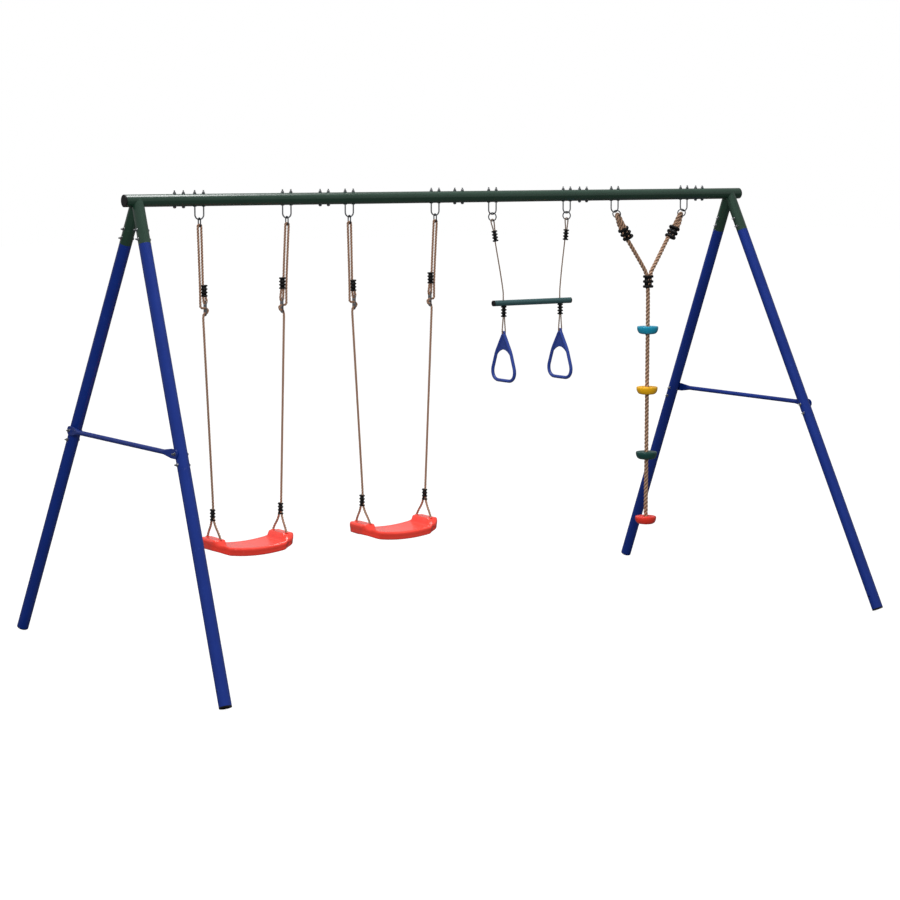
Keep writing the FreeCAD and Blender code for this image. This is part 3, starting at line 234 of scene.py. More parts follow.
# tones: the paint or plastic, what it drifts to, and its scuffs
finishes = {
    "beamPaint": dict(paintLook, tones=((29, 52, 41), (38, 63, 51), (70, 98, 84)),
                      roughness=(0.24, 0.34), coat=0.25, specular=0.5),
    "legPaint": dict(paintLook, tones=((13, 37, 106), (23, 52, 132), (60, 88, 166)),
                     roughness=(0.32, 0.44), coat=0.0, specular=0.35),
    "barPaint": dict(paintLook, tones=((44, 74, 76), (54, 86, 88), (90, 116, 118)),
                     roughness=(0.25, 0.38), coat=0.2, specular=0.5, bump=0.04, grain=1500),
    "zinc": dict(metalLook, tones=((176, 178, 180), (150, 152, 156), (110, 110, 112)),
                 roughness=(0.25, 0.45)),
    "darkZinc": dict(metalLook, tones=((108, 114, 120), (84, 90, 96), (56, 58, 60)),
                     roughness=(0.35, 0.5)),
    "blackPlastic": dict(plasticLook, tones=((12, 12, 13), (20, 20, 21), (48, 48, 48)), coat=0.0,
                         roughness=(0.38, 0.55), specular=0.35, bump=0.12, grain=2200),
    "seatPlastic": dict(plasticLook, tones=((252, 60, 46), (255, 76, 62), (255, 128, 114)),
                        roughness=(0.20, 0.30), coat=0.35, specular=0.5, bump=0.04),
    "handlePlastic": dict(plasticLook, tones=((40, 60, 134), (50, 72, 150), (90, 106, 172))),
    "discBlue": dict(plasticLook, tones=((20, 134, 166), (32, 150, 182), (84, 172, 200))),
    "discYellow": dict(plasticLook, tones=((226, 164, 8), (238, 180, 24), (242, 204, 96))),
    "discGreen": dict(plasticLook, tones=((20, 58, 54), (28, 70, 65), (64, 104, 98))),
    "discRed": dict(plasticLook, tones=((220, 50, 36), (232, 62, 48), (242, 120, 104))),
}
# tones: the darker yarn, the lighter yarn, and the painted shade in the grooves between strands
ropeFinishes = {
    "swingRope": dict(ropeLook, tones=((164, 122, 98), (216, 174, 146), (52, 32, 24))),
    "trapezeRope": dict(ropeLook, tones=((142, 120, 104), (184, 160, 142), (58, 42, 34))),
    "climbingRope": dict(ropeLook, tones=((164, 128, 102), (214, 174, 146), (56, 38, 28))),
}


def newMaterial(name, effect):
    # a material with a shared group in it: its tree, its shader and that group's node
    material = bpy.data.materials.new(name)
    material.use_nodes = True
    tree = material.node_tree
    pattern = tree.nodes.new("ShaderNodeGroup")
    pattern.node_tree = effect
    return material, tree, tree.nodes["Principled BSDF"], pattern


def mixColors(tree, first, second, share):
    # either colour may be a fixed one or another node's
    mix = tree.nodes.new("ShaderNodeMix")
    mix.data_type = "RGBA"
    for label, color in (("A", first), ("B", second)):
        if isinstance(color, tuple):
            mix.inputs[label].default_value = color
        else:
            tree.links.new(color, mix.inputs[label])
    tree.links.new(share, mix.inputs["Factor"])
    return mix.outputs["Result"]


def addBump(tree, height, strength):
    bump = tree.nodes.new("ShaderNodeBump")
    bump.inputs["Strength"].default_value = strength
    bump.inputs["Distance"].default_value = bumpDepth
    tree.links.new(height, bump.inputs["Height"])
    return bump.outputs["Normal"]


def makeFinish(name, finish, mottle):
    material, tree, shader, surface = newMaterial(name, mottle)
    link = tree.links.new
    surface.inputs["Grain Scale"].default_value = finish["grain"]
    base, drifted, scuffed = (srgb(*tone) for tone in finish["tones"])
    drift = surface.outputs["Drift"]
    wear = mapRange(tree, surface.outputs["Scuff"], 0, scuffStrength)
    tone = mixColors(tree, base, drifted, drift)
    link(mixColors(tree, tone, scuffed, wear), shader.inputs["Base Color"])
    link(mapRange(tree, drift, *finish["roughness"]), shader.inputs["Roughness"])
    link(addBump(tree, surface.outputs["Grain"], finish["bump"]), shader.inputs["Normal"])
    for label, value in (("Metallic", finish["metallic"]), ("Coat Weight", finish["coat"]),
                         ("Specular IOR Level", finish["specular"]),
                         ("Coat Roughness", coatRoughness)):
        shader.inputs[label].default_value = value
    return material


def makeRopeFinish(name, finish, fibre):
    material, tree, shader, strand = newMaterial(name, fibre)
    link = tree.links.new
    dark, light, grooveShade = (srgb(*tone) for tone in finish["tones"])
    yarn = mapRange(tree, strand.outputs["Yarn"], *finish["yarnSpread"], "From")
    tone = mixColors(tree, dark, light, yarn)
    crown = tree.nodes.new("ShaderNodeAttribute")
    crown.attribute_name = "crown"
    # painted shade: the base colour darkens towards the grooves between strands, where the crown is
    # low
    unshadedShare = mapRange(tree, crown.outputs["Fac"], *finish["grooveShadeSpread"], "From")
    link(mixColors(tree, grooveShade, tone, unshadedShare), shader.inputs["Base Color"])
    link(mapRange(tree, strand.outputs["Patch"], *finish["roughness"]), shader.inputs["Roughness"])
    link(addBump(tree, strand.outputs["Yarn"], finish["bump"]), shader.inputs["Normal"])
    shader.inputs["Sheen Weight"].default_value = finish["sheen"]
    return material


mottleGroup = makeMottleGroup()
fibreGroup = makeFibreGroup()
materials = {name: makeFinish(name, finish, mottleGroup) for name, finish in finishes.items()}
for ropeName, ropeFinish in ropeFinishes.items():
    materials[ropeName] = makeRopeFinish(ropeName, ropeFinish, fibreGroup)

makeCamera()
makeStudio()
print("studio ready")


# Ropes

upwards = (0, 0, 1)
corners = [(side, face) for side in (-1, 1) for face in (-1, 1)]
hangHeight = 1.788
seatDeck = 0.4737
seatHoleHalfSpan = 0.156
ringGap, ringRadius = 0.0061, 0.0175


def swingRoute(hangX, inward, holeX, lean, clampTop):
    # from the eye's tail down round the adjuster, over the link and under the seat
    strand = 0.0119 + lean
    plate = 0.021 + lean
    neck = clampTop - 0.048
    seatClamp = inward * (holeX - hangX) - 0.005
    seatHole = seatClamp + 0.005
    local = [
        (strand + 0.0102, 0, clampTop - 0.002),
        (strand + 0.0102, 0, neck - 0.001),
        (plate + 0.0068, 0, 1.464),
        (plate + 0.0068, 0, 1.449),
        (plate - 0.0068, 0, 1.449),
        (plate - 0.0068, 0, 1.464),
        (strand, 0, neck - 0.001),
        (strand, 0, clampTop + 0.003),
        (0.0078 + (strand - 0.0078) * 0.25, 0, 1.7068),
        (0.0078, 0, 1.7508),
        (0.0078, 0, 1.7668),
        (-0.0078, 0, 1.7668),
        (-0.0078, 0, 1.7508),
        (-0.0078 + (plate - 0.0142) * 0.2, 0, 1.7068),
        (plate - 0.022, 0, 1.509),
        (plate - 0.022, 0, 1.449),
        (plate - 0.022, 0, 1.429),
        (plate + 0.012, 0, 1.429),
        (plate + 0.012, 0, 1.409),
        (plate - 0.0105, 0, 1.409),
        (plate - 0.0105 + (seatClamp - plate + 0.0105) * 0.075, -0.0004, 1.349),
        (seatClamp + (plate - 0.0105 - seatClamp) * 0.075, -0.0051, 0.672),
        (seatClamp, -0.0051, 0.612),
        (seatClamp, -0.0051, 0.551),
        (seatHole, -0.054, 0.492),
        (seatHole, -0.054, seatDeck),
        (seatHole, 0.054, seatDeck),
        (seatHole, 0.054, 0.492),
        (seatClamp, 0.0051, 0.551),
        (seatClamp, 0.0051, 0.602),
    ]
    return [(hangX + inward * along, across, up) for along, across, up in local]


def newCurve(name, radius=0.0, sides=0):
    data = bpy.data.curves.new(name, "CURVE")
    data.dimensions = "3D"
    data.bevel_depth = radius
    data.bevel_resolution = sides
    return data


def addSpline(data, kind, points):
    spline = data.splines.new(kind)
    spline.points.add(len(points) - 1)
    for point, place in zip(spline.points, points):
        point.co = (*place, 1)
    return spline


def curveMesh(name, data):
    # the mesh of a curve, which is then removed
    curve = bpy.data.objects.new(name, data)
    scene.collection.objects.link(curve)
    bpy.context.view_layer.update()
    mesh = bpy.data.meshes.new_from_object(curve)
    bpy.data.objects.remove(curve)
    bpy.data.curves.remove(data)
    mesh.name = name
    return mesh


def routePath(name, points, detail=16):
    # the smooth line of a rope's route, as points
    data = newCurve(name)
    spline = addSpline(data, "NURBS", points)
    spline.order_u = 3
    spline.use_endpoint_u = True
    spline.resolution_u = detail
    mesh = curveMesh(name, data)
    path = [vertex.co.copy() for vertex in mesh.vertices]
    bpy.data.meshes.remove(mesh)
    return path


def spacedPath(path, step):
    # points a step apart along a path
    spaced = [path[0]]
    left = step
    for start, end in zip(path, path[1:]):
        run = (end - start).length
        done = 0.0
        while run - done >= left:
            done += left
            spaced.append(start.lerp(end, done / run))
            left = step
        left -= run - done
    if (spaced[-1] - path[-1]).length > 0.3 * step:
        spaced.append(path[-1])
    return spaced


def pathFrames(path):
    # a side vector for each point that doesn't spin round the path
    heading = (path[1] - path[0]).normalized()
    side = heading.orthogonal().normalized()
    sides = []
    for index in range(len(path)):
        before = path[max(index - 1, 0)]
        after = path[min(index + 1, len(path) - 1)]
        turned = (after - before).normalized()
        side = heading.rotation_difference(turned) @ side
        heading = turned
        sides.append((side.copy(), heading.cross(side).normalized()))
    return sides


def laidRope(name, path, rope):
    # strands laid round each other along the path
    line = spacedPath(path, rope["step"])
    sides = pathFrames(line)
    offset = rope["strandOffset"]
    data = newCurve(name, rope["strandRadius"], rope["strandSides"])
    data.use_fill_caps = True
    for strand in range(rope["strands"]):
        places = []
        for index, (centre, (side, across)) in enumerate(zip(line, sides)):
            angle = math.tau * (index * rope["step"] / rope["lay"] + strand / rope["strands"])
            places.append(centre + side * (offset * math.cos(angle))
                          + across * (offset * math.sin(angle)))
        addSpline(data, "POLY", places)
    mesh = curveMesh(name, data)
    # how far each point stands out of the rope, which sets the painted shade in the grooves between
    # strands
    crown = mesh.attributes.new("crown", "FLOAT", "POINT")
    tree = kdtree.KDTree(len(line))
    for index, centre in enumerate(line):
        tree.insert(centre, index)
    tree.balance()
    for index, vertex in enumerate(mesh.vertices):
        centre = line[tree.find(vertex.co)[1]]
        crown.data[index].value = (vertex.co - centre).length / (offset + rope["strandRadius"])
    return linkPiece(name, mesh)


def addRope(name, node, body, points, rope):
    path = routePath(name, points)
    piece = laidRope(name, path, rope)
    finishPiece(piece, rope["finish"], rope["slot"], body, node)
    length = sum((end - start).length for start, end in zip(path, path[1:]))
    print(name, round(length, 3), len(piece.data.polygons))


swingRope = {
    "diameter": 0.010, "strands": 3, "strandRadius": 0.0025, "strandOffset": 0.0027,
    "lay": 0.036, "step": 0.0024, "strandSides": 2, "length": 2.0,
    "finish": "swingRope", "slot": "swing_rope",
}
swings = {
    "swing_1": {"centre": -1.065, "span": 0.408},
    "swing_2": {"centre": -0.340, "span": 0.435},
}
swingSides = {
    "left": {"side": -1, "lean": 0.0, "clampTop": 1.524},
    "right": {"side": 1, "lean": 0.007, "clampTop": 1.544},
}


def swingHang(place, hang):
    # where a rope hangs from the beam, and where its seat hole is
    return (place["centre"] + hang["side"] * place["span"] / 2,
            place["centre"] + hang["side"] * seatHoleHalfSpan)


for swing, place in swings.items():
    for sideName, hang in swingSides.items():
        hangX, holeX = swingHang(place, hang)
        route = swingRoute(hangX, -hang["side"], holeX, hang["lean"], hang["clampTop"])
        addRope(f"{swing}_laidRope_{sideName}", f"{swing}_rope_{sideName}", swing, route, swingRope)
print("swing ropes ready")


trapeze = {"centre": 0.384, "span": 0.408, "barCentre": 0.399, "holeHalfSpan": 0.156,
           "barHeight": 1.397, "ropeShift": 0.0031}
trapezeRope = {
    "diameter": 0.006, "strands": 3, "strandRadius": 0.0016, "strandOffset": 0.0016,
    "lay": 0.024, "step": 0.0016, "strandSides": 2, "length": 0.75,
    "finish": "trapezeRope", "slot": "trapeze_rope",
}


def trapezeHang(side):
    # one rope's place at the bar, its ring's lowest point, and the ways down and across
    hangX = trapeze["centre"] + side * trapeze["span"] / 2
    holeX = trapeze["barCentre"] + side * trapeze["holeHalfSpan"] - trapeze["ropeShift"]
    ringLow = Vector((hangX, 0, hangHeight + ringGap - 2 * ringRadius))
    down = (Vector((holeX, 0, trapeze["barHeight"])) - ringLow).normalized()
    return holeX, ringLow, down, Vector((-down.z, 0, down.x))


def trapezeRoute(side):
    # from the ring's eye down through the bar, round the handle's eye and back up
    holeX, start, down, across = trapezeHang(side)
    turn = 0.0066
    eye = 1.262
    bow = Vector((math.copysign(0.003, down.x), 0, 0))
    points = [
        start + down * 0.090 + across * 0.0062,
        start + down * 0.042 + across * 0.0062,
        start + down * 0.006 + across * (turn + 0.002),
        start - down * turn + across * turn,
        start - down * turn - across * turn,
        start + down * 0.006 - across * (turn + 0.002),
        start + down * 0.042,
        start + down * 0.100,
        start.lerp(Vector((holeX, 0, 1.423)), 0.62) + bow,
    ]
    points += [Vector((holeX + along, 0, up)) for along, up in (
        (0, 1.448), (0, 1.423), (0, 1.350), (0, 1.3337), (-0.0054, eye + 0.014), (-0.0054, eye),
        (0.0116, eye), (0.0116, eye + 0.014), (0.0062, 1.3337), (0.0062, 1.3817))]
    return points


for sideName, side in (("left", -1), ("right", 1)):
    addRope(f"trapeze_laidRope_{sideName}", f"trapeze_rope_{sideName}", "trapeze",
            trapezeRoute(side), trapezeRope)
print("trapeze ropes ready")


climber = {"centre": 1.065, "span": 0.408, "ropeX": 1.062, "junction": 1.467,
           "climb": 20, "pull": 30, "turnAngle": 50, "bend": 0.020, "turn": 0.0119}


def climberArm(side):
    # one arm's points, from its tail round the ring and down to the junction
    climb, pull, turnAngle = (math.radians(climber[angle])
                              for angle in ("climb", "pull", "turnAngle"))
    bend, turn = climber["bend"], climber["turn"]
    hang = ringRadius - ringGap
    hookX = climber["centre"] + side * climber["span"] / 2
    centre = Vector((hookX - side * (bend * math.sin(climb) + hang * math.sin(pull)), 0,
                     hangHeight + bend * (1 - math.cos(climb)) - hang * math.cos(pull)))
    away = Vector((-side * math.sin(pull), 0, -math.cos(pull)))
    normal = Vector((math.cos(pull) * math.sin(turnAngle), math.cos(turnAngle),
                     -side * math.sin(pull) * math.sin(turnAngle)))
    low = centre + away * ringRadius
    middle = low + away * 0.076
    down = (Vector((climber["ropeX"] + side * 0.0092, 0, 1.510)) - middle).normalized()
    tail = down.cross(normal).normalized() * 0.0184
    strand = middle - down * 0.042
    corner = Vector((climber["ropeX"] + side * 0.0075, 0, 1.500))
    nearCorner = corner + (middle - corner).normalized() * 0.058
    return [
        middle + down * 0.034 + tail * 0.5,
        strand + tail * 0.5,
        low + away * 0.008 + normal * turn + tail * 0.15,
        low - away * turn + normal * turn,
        low - away * turn - normal * turn,
        low + away * 0.008 - normal * turn - tail * 0.15,
        strand - tail * 0.5,
        middle + down * 0.045 - tail * 0.35,
        nearCorner,
        corner,
    ]


climbingRope = {
    "diameter": 0.018, "strands": 3, "strandRadius": 0.0048, "strandOffset": 0.0052,
    "lay": 0.054, "step": 0.0030, "strandSides": 3, "length": 1.6,
    "finish": "climbingRope", "slot": "climbing_rope",
}
branchRope = dict(climbingRope, length=0.52)
mainRoute = climberArm(-1) + [(1.0605, 0, 1.442)] + [
    (climber["ropeX"], 0, up) for up in (1.380, 1.240, 0.341)]
branchRoute = climberArm(1) + [(1.0665, 0, 1.442)]
for name, route, rope in (("main", mainRoute, climbingRope), ("branch", branchRoute, branchRope)):
    addRope(f"climber_laidRope_{name}", f"climbing_rope_{name}", "climber", route, rope)
print("climbing rope ready")


# Moulded clamps on the ropes

clampShapes = {
    "swingClamp": {"width": 0.030, "thickness": 0.018, "height": 0.048, "rib": 0.0068, "ribs": 4,
                   "coreWidth": 0.0215, "coreThickness": 0.0118, "round": 0.0024},
    "trapezeClamp": {"width": 0.028, "thickness": 0.016, "height": 0.048, "rib": 0.0068, "ribs": 4,
                     "coreWidth": 0.0170, "coreThickness": 0.0095, "round": 0.0024},
    "climberClamp": {"width": 0.053, "thickness": 0.034, "height": 0.058, "rib": 0.012, "ribs": 3,
                     "coreWidth": 0.0385, "coreThickness": 0.0188, "round": 0.0042},
}


def ovalSlab(bm, width, thickness, low, high, rounding):
    # a slab with round ends, its rims softened
    made = bmesh.ops.create_circle(bm, cap_ends=True, segments=28, radius=thickness / 2)
    spread = (width - thickness) / 2
    for vert in made["verts"]:
        vert.co.x += math.copysign(spread, vert.co.x)
        vert.co.z = low
    base = made["verts"][0].link_faces[0]
    raised = bmesh.ops.extrude_face_region(bm, geom=[base])
    top = [item for item in raised["geom"] if isinstance(item, bmesh.types.BMVert)]
    bmesh.ops.translate(bm, verts=top, vec=(0, 0, high - low))
    if rounding:
        rims = {edge for vert in made["verts"] + top for edge in vert.link_edges
                if abs(edge.verts[0].co.z - edge.verts[1].co.z) < 1e-6}
        bmesh.ops.bevel(bm, geom=list(rims), offset=rounding, segments=3, profile=0.5,
                        affect="EDGES", material=-1)


def turnTo(origin, along, across):
    # a matrix whose Z runs along and whose X lies nearest to across
    up = Vector(along).normalized()
    side = up.cross(Vector(across)).normalized()
    matrix = Matrix((side.cross(up), side, up)).transposed().to_4x4()
    matrix.translation = origin
    return matrix


def addClamps(name, node, body, shape, places):
    whole = bmesh.new()
    for middle, along, across in places:
        bm = bmesh.new()
        half = shape["height"] / 2
        ovalSlab(bm, shape["coreWidth"], shape["coreThickness"], -half, half, 0)
        pitch = (shape["height"] - shape["rib"]) / (shape["ribs"] - 1)
        for index in range(shape["ribs"]):
            low = index * pitch - half
            ovalSlab(bm, shape["width"], shape["thickness"], low, low + shape["rib"],
                     shape["round"])
        bmesh.ops.recalc_face_normals(bm, faces=bm.faces)
        bmesh.ops.transform(bm, matrix=turnTo(Vector(middle), along, across), verts=bm.verts)
        joinPart(whole, bm)
    finishPiece(meshPiece(name, whole), "blackPlastic", "black_plastic", body, node)


for swing, place in swings.items():
    upper, lower = [], []
    for hang in swingSides.values():
        hangX, holeX = swingHang(place, hang)
        clampX = hangX - hang["side"] * (0.0119 + hang["lean"] + 0.0051)
        upper.append(((clampX, 0, hang["clampTop"] - 0.024), upwards, (1, 0, 0)))
        lower.append(((holeX + hang["side"] * 0.005, 0, 0.579), upwards, (0, 1, 0)))
    for level, places in (("upper", upper), ("seat", lower)):
        addClamps(f"{swing}_{level}ClampPair", f"{swing}_{level}_clamps", swing,
                  clampShapes["swingClamp"], places)

upper, lower = [], []
for side in (-1, 1):
    holeX, ringLow, down, across = trapezeHang(side)
    shift = trapeze["ropeShift"]
    upper.append((ringLow + down * 0.068 + across * shift, -down, across))
    lower.append(((holeX + shift, 0, 1.3597), upwards, (1, 0, 0)))
for level, places in (("upper", upper), ("lower", lower)):
    addClamps(f"trapeze_{level}ClampPair", f"trapeze_{level}_clamps", "trapeze",
              clampShapes["trapezeClamp"], places)

upper = []
for side in (-1, 1):
    arm = climberArm(side)
    down = (arm[8] - arm[7]).normalized()
    middle = (arm[0] + arm[7]) / 2 - down * 0.029
    upper.append((middle, -down, arm[1] - arm[6]))
addClamps("climber_upperClampPair", "climber_upper_clamps", "climber",
          clampShapes["climberClamp"], upper)
addClamps("climber_junctionClamp", "climber_junction_clamp", "climber",
          clampShapes["climberClamp"],
          [((climber["ropeX"], 0, climber["junction"]), upwards, (1, 0, 0))])
print("clamps ready")


# Moulded seats

seatShape = {
    "halfLength": 0.1925, "endHalf": 0.079, "endCorner": 0.040,
    "bodyHalf": 0.092, "bodyFrom": 0.130, "bodyTo": 0.157,
    "low": 0.4075, "lowSweep": 0.86, "lowFrom": 0.125, "lowTo": 0.190, "lowLift": 0.008,
    "bowl": 0.441, "bowlSweep": 0.78, "ridgeTop": 0.483, "ridgeFrom": 0.132,
    "ridgeHalf": 0.0745, "rim": 0.007, "endRim": 0.012, "bead": 0.0014, "wall": 0.0034,
    "lengthwise": 96, "crosswise": 32,
    "ridgeRise": (0.004, 0.006), "ridgeFall": 0.019, "blockShare": 0.4,
    "beadRise": (0.4, 1.1), "beadFall": (1.6, 2.6),  # in rims from the edge
    "holeY": 0.054, "collar": 0.0072, "collarWire": 0.0017,
    "ribs": (-0.10, -0.05, 0.0, 0.05, 0.10), "ribWall": 0.0026, "ribInset": 0.003,
    "ribTop": 0.002, "ribLift": 0.010,
    # share of the way down, and how far it has come in from the outline
    "skirt": [(0.12, 0.0), (0.28, 0.0004), (0.34, 0.0014), (0.60, 0.0018), (0.86, 0.0024),
              (0.94, 0.0038), (0.98, 0.0058), (1.0, 0.0085)],
}


def smoothStep(low, high, value):
    share = min(max((value - low) / (high - low), 0.0), 1.0)
    return share * share * (3 - 2 * share)


def seatHalfWidth(along):
    reach = abs(along)
    body = 1 - smoothStep(seatShape["bodyFrom"], seatShape["bodyTo"], reach)
    half = seatShape["endHalf"] + (seatShape["bodyHalf"] - seatShape["endHalf"]) * body
    corner = seatShape["endCorner"]
    past = reach - (seatShape["halfLength"] - corner)
    if past > 0:
        half -= corner - math.sqrt(max(corner ** 2 - past ** 2, 0.0))
    return half


def seatTop(along, across):
    reach = abs(along)
    high = seatShape["bowl"] + along ** 2 / (2 * seatShape["bowlSweep"])
    before, after = seatShape["ridgeRise"]
    ridge = smoothStep(seatShape["ridgeFrom"] - before, seatShape["ridgeFrom"] + after, reach)
    block = smoothStep(seatShape["bodyFrom"], seatShape["bodyTo"], reach)
    side = seatShape["ridgeHalf"]
    ridge *= 1 - (1 - seatShape["blockShare"] * block) * smoothStep(
        side - seatShape["ridgeFall"], side, abs(across))
    high += (seatShape["ridgeTop"] - high) * ridge
    edge = min(seatHalfWidth(along) - abs(across), seatShape["halfLength"] - reach)
    rim = seatShape["rim"] + (seatShape["endRim"] - seatShape["rim"]) * block
    rise, fall = ([rim * share for share in seatShape[name]] for name in ("beadRise", "beadFall"))
    high += seatShape["bead"] * (1 - ridge) * smoothStep(*rise, edge) * (
        1 - smoothStep(*fall, edge))
    if edge < rim:
        high -= rim - math.sqrt(max(rim ** 2 - (rim - edge) ** 2, 0.0))
    return high


def seatUnder(along):
    unshadedShare = seatShape["lowLift"] * smoothStep(seatShape["lowFrom"], seatShape["lowTo"], abs(along))
    return seatShape["low"] + along ** 2 / (2 * seatShape["lowSweep"]) + unshadedShare


def ringBead(bm, centre, axis, radius, wire, around, section):
    # a round wire bent to a full circle about an axis
    axis = axis.normalized()
    out = axis.orthogonal().normalized()
    made = bmesh.ops.create_circle(bm, cap_ends=False, segments=section, radius=wire)
    place = Matrix((out, axis, out.cross(axis))).transposed().to_4x4()
    place.translation = centre + out * radius
    bmesh.ops.transform(bm, matrix=place, verts=made["verts"])
    edges = list({edge for vert in made["verts"] for edge in vert.link_edges})
    bmesh.ops.spin(bm, geom=made["verts"] + edges, cent=centre, axis=axis, angle=math.tau,
                   steps=around, use_merge=True)


def addSeat(name, node, body, centre):
    bm = bmesh.new()
    bmesh.ops.create_grid(bm, x_segments=seatShape["lengthwise"], y_segments=seatShape["crosswise"],
                          size=1)
    outline = [bm.verts.layers.float.new(axis) for axis in ("outlineX", "outlineY")]
    for vert in bm.verts:
        along = math.sin(vert.co.x * math.pi / 2) * seatShape["halfLength"]
        across = math.sin(vert.co.y * math.pi / 2) * seatHalfWidth(along)
        vert.co = (along, across, seatTop(along, across))
        vert[outline[0]], vert[outline[1]] = along, across
    # the skirt: a shallow step under the rim, then down to a lower edge that turns in
    for share, inset in seatShape["skirt"]:
        border = [edge for edge in bm.edges if edge.is_boundary]
        made = bmesh.ops.extrude_edge_only(bm, edges=border)
        for vert in [item for item in made["geom"] if isinstance(item, bmesh.types.BMVert)]:
            along, across = vert[outline[0]], vert[outline[1]]
            top, low = seatTop(along, across), seatUnder(along)
            vert.co = (along * (1 - inset / seatShape["halfLength"]),
                       across * (1 - inset / seatHalfWidth(0)), top + (low - top) * share)
    bmesh.ops.recalc_face_normals(bm, faces=bm.faces)
    for rib in seatShape["ribs"]:
        half = seatHalfWidth(rib) - seatShape["ribInset"]
        top = seatTop(rib, 0) - seatShape["ribTop"]
        low = seatUnder(rib) + seatShape["ribLift"]
        made = bmesh.ops.create_cube(bm, size=1)
        bmesh.ops.scale(bm, vec=(seatShape["ribWall"], 2 * half, top - low), verts=made["verts"])
        bmesh.ops.translate(bm, vec=(rib, 0, (top + low) / 2), verts=made["verts"])
    bmesh.ops.translate(bm, vec=(centre, 0, 0), verts=bm.verts)
    for layer in ("outlineX", "outlineY"):
        bm.verts.layers.float.remove(bm.verts.layers.float[layer])
    seat = meshPiece(name, bm)
    wall = seat.modifiers.new("wall", "SOLIDIFY")
    wall.thickness = seatShape["wall"]
    wall.offset = -1
    finishPiece(seat, "seatPlastic", "seat_plastic", body, node)
    collars = bmesh.new()
    for side, face in corners:
        ringBead(collars, Vector((centre + side * seatHoleHalfSpan, face * seatShape["holeY"],
                                  seatShape["ridgeTop"])), Vector(upwards),
                 seatShape["collar"], seatShape["collarWire"], 24, 8)
    finishPiece(meshPiece(f"{name}_holeRims", collars), "seatPlastic", "seat_plastic", body)


for swing, place in swings.items():
    addSeat(f"{swing}_mouldedSeat", f"{swing}_seat", swing, place["centre"])
print("seats ready")


# Foot discs

discShape = {
    "height": 0.038, "radius": 0.049, "bore": 0.0092, "steps": 64,
    "tops": {"foot_disc_1": (1.260, "discBlue", "disc_blue"),
             "foot_disc_2": (0.980, "discYellow", "disc_yellow"),
             "foot_disc_3": (0.677, "discGreen", "disc_green"),
             "foot_disc_4": (0.373, "discRed", "disc_red")},
    # out from the bore and up from the top: the lip round the rope
    "lip": [(0, -0.001), (0.001, 0), (0.0045, 0), (0.0055, -0.0012)],
    "deck": 0.0016, "ridges": 4, "ridgeStart": 0.0065, "ridgeStep": 0.0068,
    "ridge": [(0, 0), (0.0012, 0.0009), (0.0030, 0.0009), (0.0042, 0)],
    # out from the radius and up from the top: the outer rim
    "rim": [(-0.004, -0.0010), (-0.0025, -0.0002), (-0.0010, -0.0010), (0, -0.0030)],
    # the bowl underneath, in shares of the height and the radius
    "bowlTop": 0.80, "bowlFloor": 0.07, "bowlInner": 0.42, "bowlOuter": 0.58, "boss": 0.30,
    "bowlSteps": 12, "sideCurve": 0.62, "floorCurve": 1.1,
    "collarRadius": 0.0145, "collarHeight": 0.0085, "collarTaper": 0.9, "collarRound": 0.0022,
}


def discOutline():
    # radius and height from the bore at the top, over the rim, to the boss underneath
    high, edge, bore = discShape["height"], discShape["radius"], discShape["bore"]
    outline = [(bore + out, high + up) for out, up in discShape["lip"]]
    for ridge in range(discShape["ridges"]):
        start = bore + discShape["ridgeStart"] + ridge * discShape["ridgeStep"]
        outline += [(start + out, high - discShape["deck"] + up) for out, up in discShape["ridge"]]
    outline += [(edge + out, high + up) for out, up in discShape["rim"]]
    floor = discShape["bowlFloor"] * high
    for step in range(1, discShape["bowlSteps"] + 1):
        angle = step / discShape["bowlSteps"] * math.pi / 2
        side = discShape["bowlOuter"] * edge * math.cos(angle) ** discShape["sideCurve"]
        drop = 1 - math.sin(angle) ** discShape["floorCurve"]
        outline.append((discShape["bowlInner"] * edge + side,
                        floor + (discShape["bowlTop"] * high - floor) * drop))
    outline += [(discShape["boss"] * edge, floor), (bore, floor)]
    return outline


def addDisc(node, top, finish, slotName):
    bm = bmesh.new()
    low = top - discShape["height"]
    ring = [bm.verts.new((radius, 0, low + high)) for radius, high in discOutline()]
    edges = [bm.edges.new(pair) for pair in zip(ring, ring[1:] + ring[:1])]
    bmesh.ops.spin(bm, geom=ring + edges, cent=(0, 0, 0), axis=upwards, angle=math.tau,
                   steps=discShape["steps"], use_merge=True)
    bmesh.ops.remove_doubles(bm, verts=bm.verts, dist=1e-6)
    bmesh.ops.recalc_face_normals(bm, faces=bm.faces)
    bmesh.ops.translate(bm, vec=(climber["ropeX"], 0, 0), verts=bm.verts)
    finishPiece(meshPiece(f"{node}_moulded", bm), finish, slotName, "climber", node)


def addDiscCollars():
    # the stop under each disc
    bm = bmesh.new()
    radius, height = discShape["collarRadius"], discShape["collarHeight"]
    for top, finish, slotName in discShape["tops"].values():
        collar = bmesh.new()
        bmesh.ops.create_cone(collar, cap_ends=True, segments=32, depth=height,
                              radius1=radius * discShape["collarTaper"], radius2=radius)
        rims = [edge for edge in collar.edges if len(edge.link_faces) == 2
                and abs(edge.verts[0].co.z - edge.verts[1].co.z) < 1e-6]
        bmesh.ops.bevel(collar, geom=rims, offset=discShape["collarRound"], segments=3,
                        profile=0.5, affect="EDGES", material=-1)
        middle = top - discShape["height"] + height / 2
        bmesh.ops.translate(collar, vec=(climber["ropeX"], 0, middle), verts=collar.verts)
        joinPart(bm, collar)
    finishPiece(meshPiece("foot_disc_stops", bm), "blackPlastic", "black_plastic", "climber")


for discNode, (discTop, discFinish, discSlot) in discShape["tops"].items():
    addDisc(discNode, discTop, discFinish, discSlot)
addDiscCollars()
print("foot discs ready")


# Ring handles

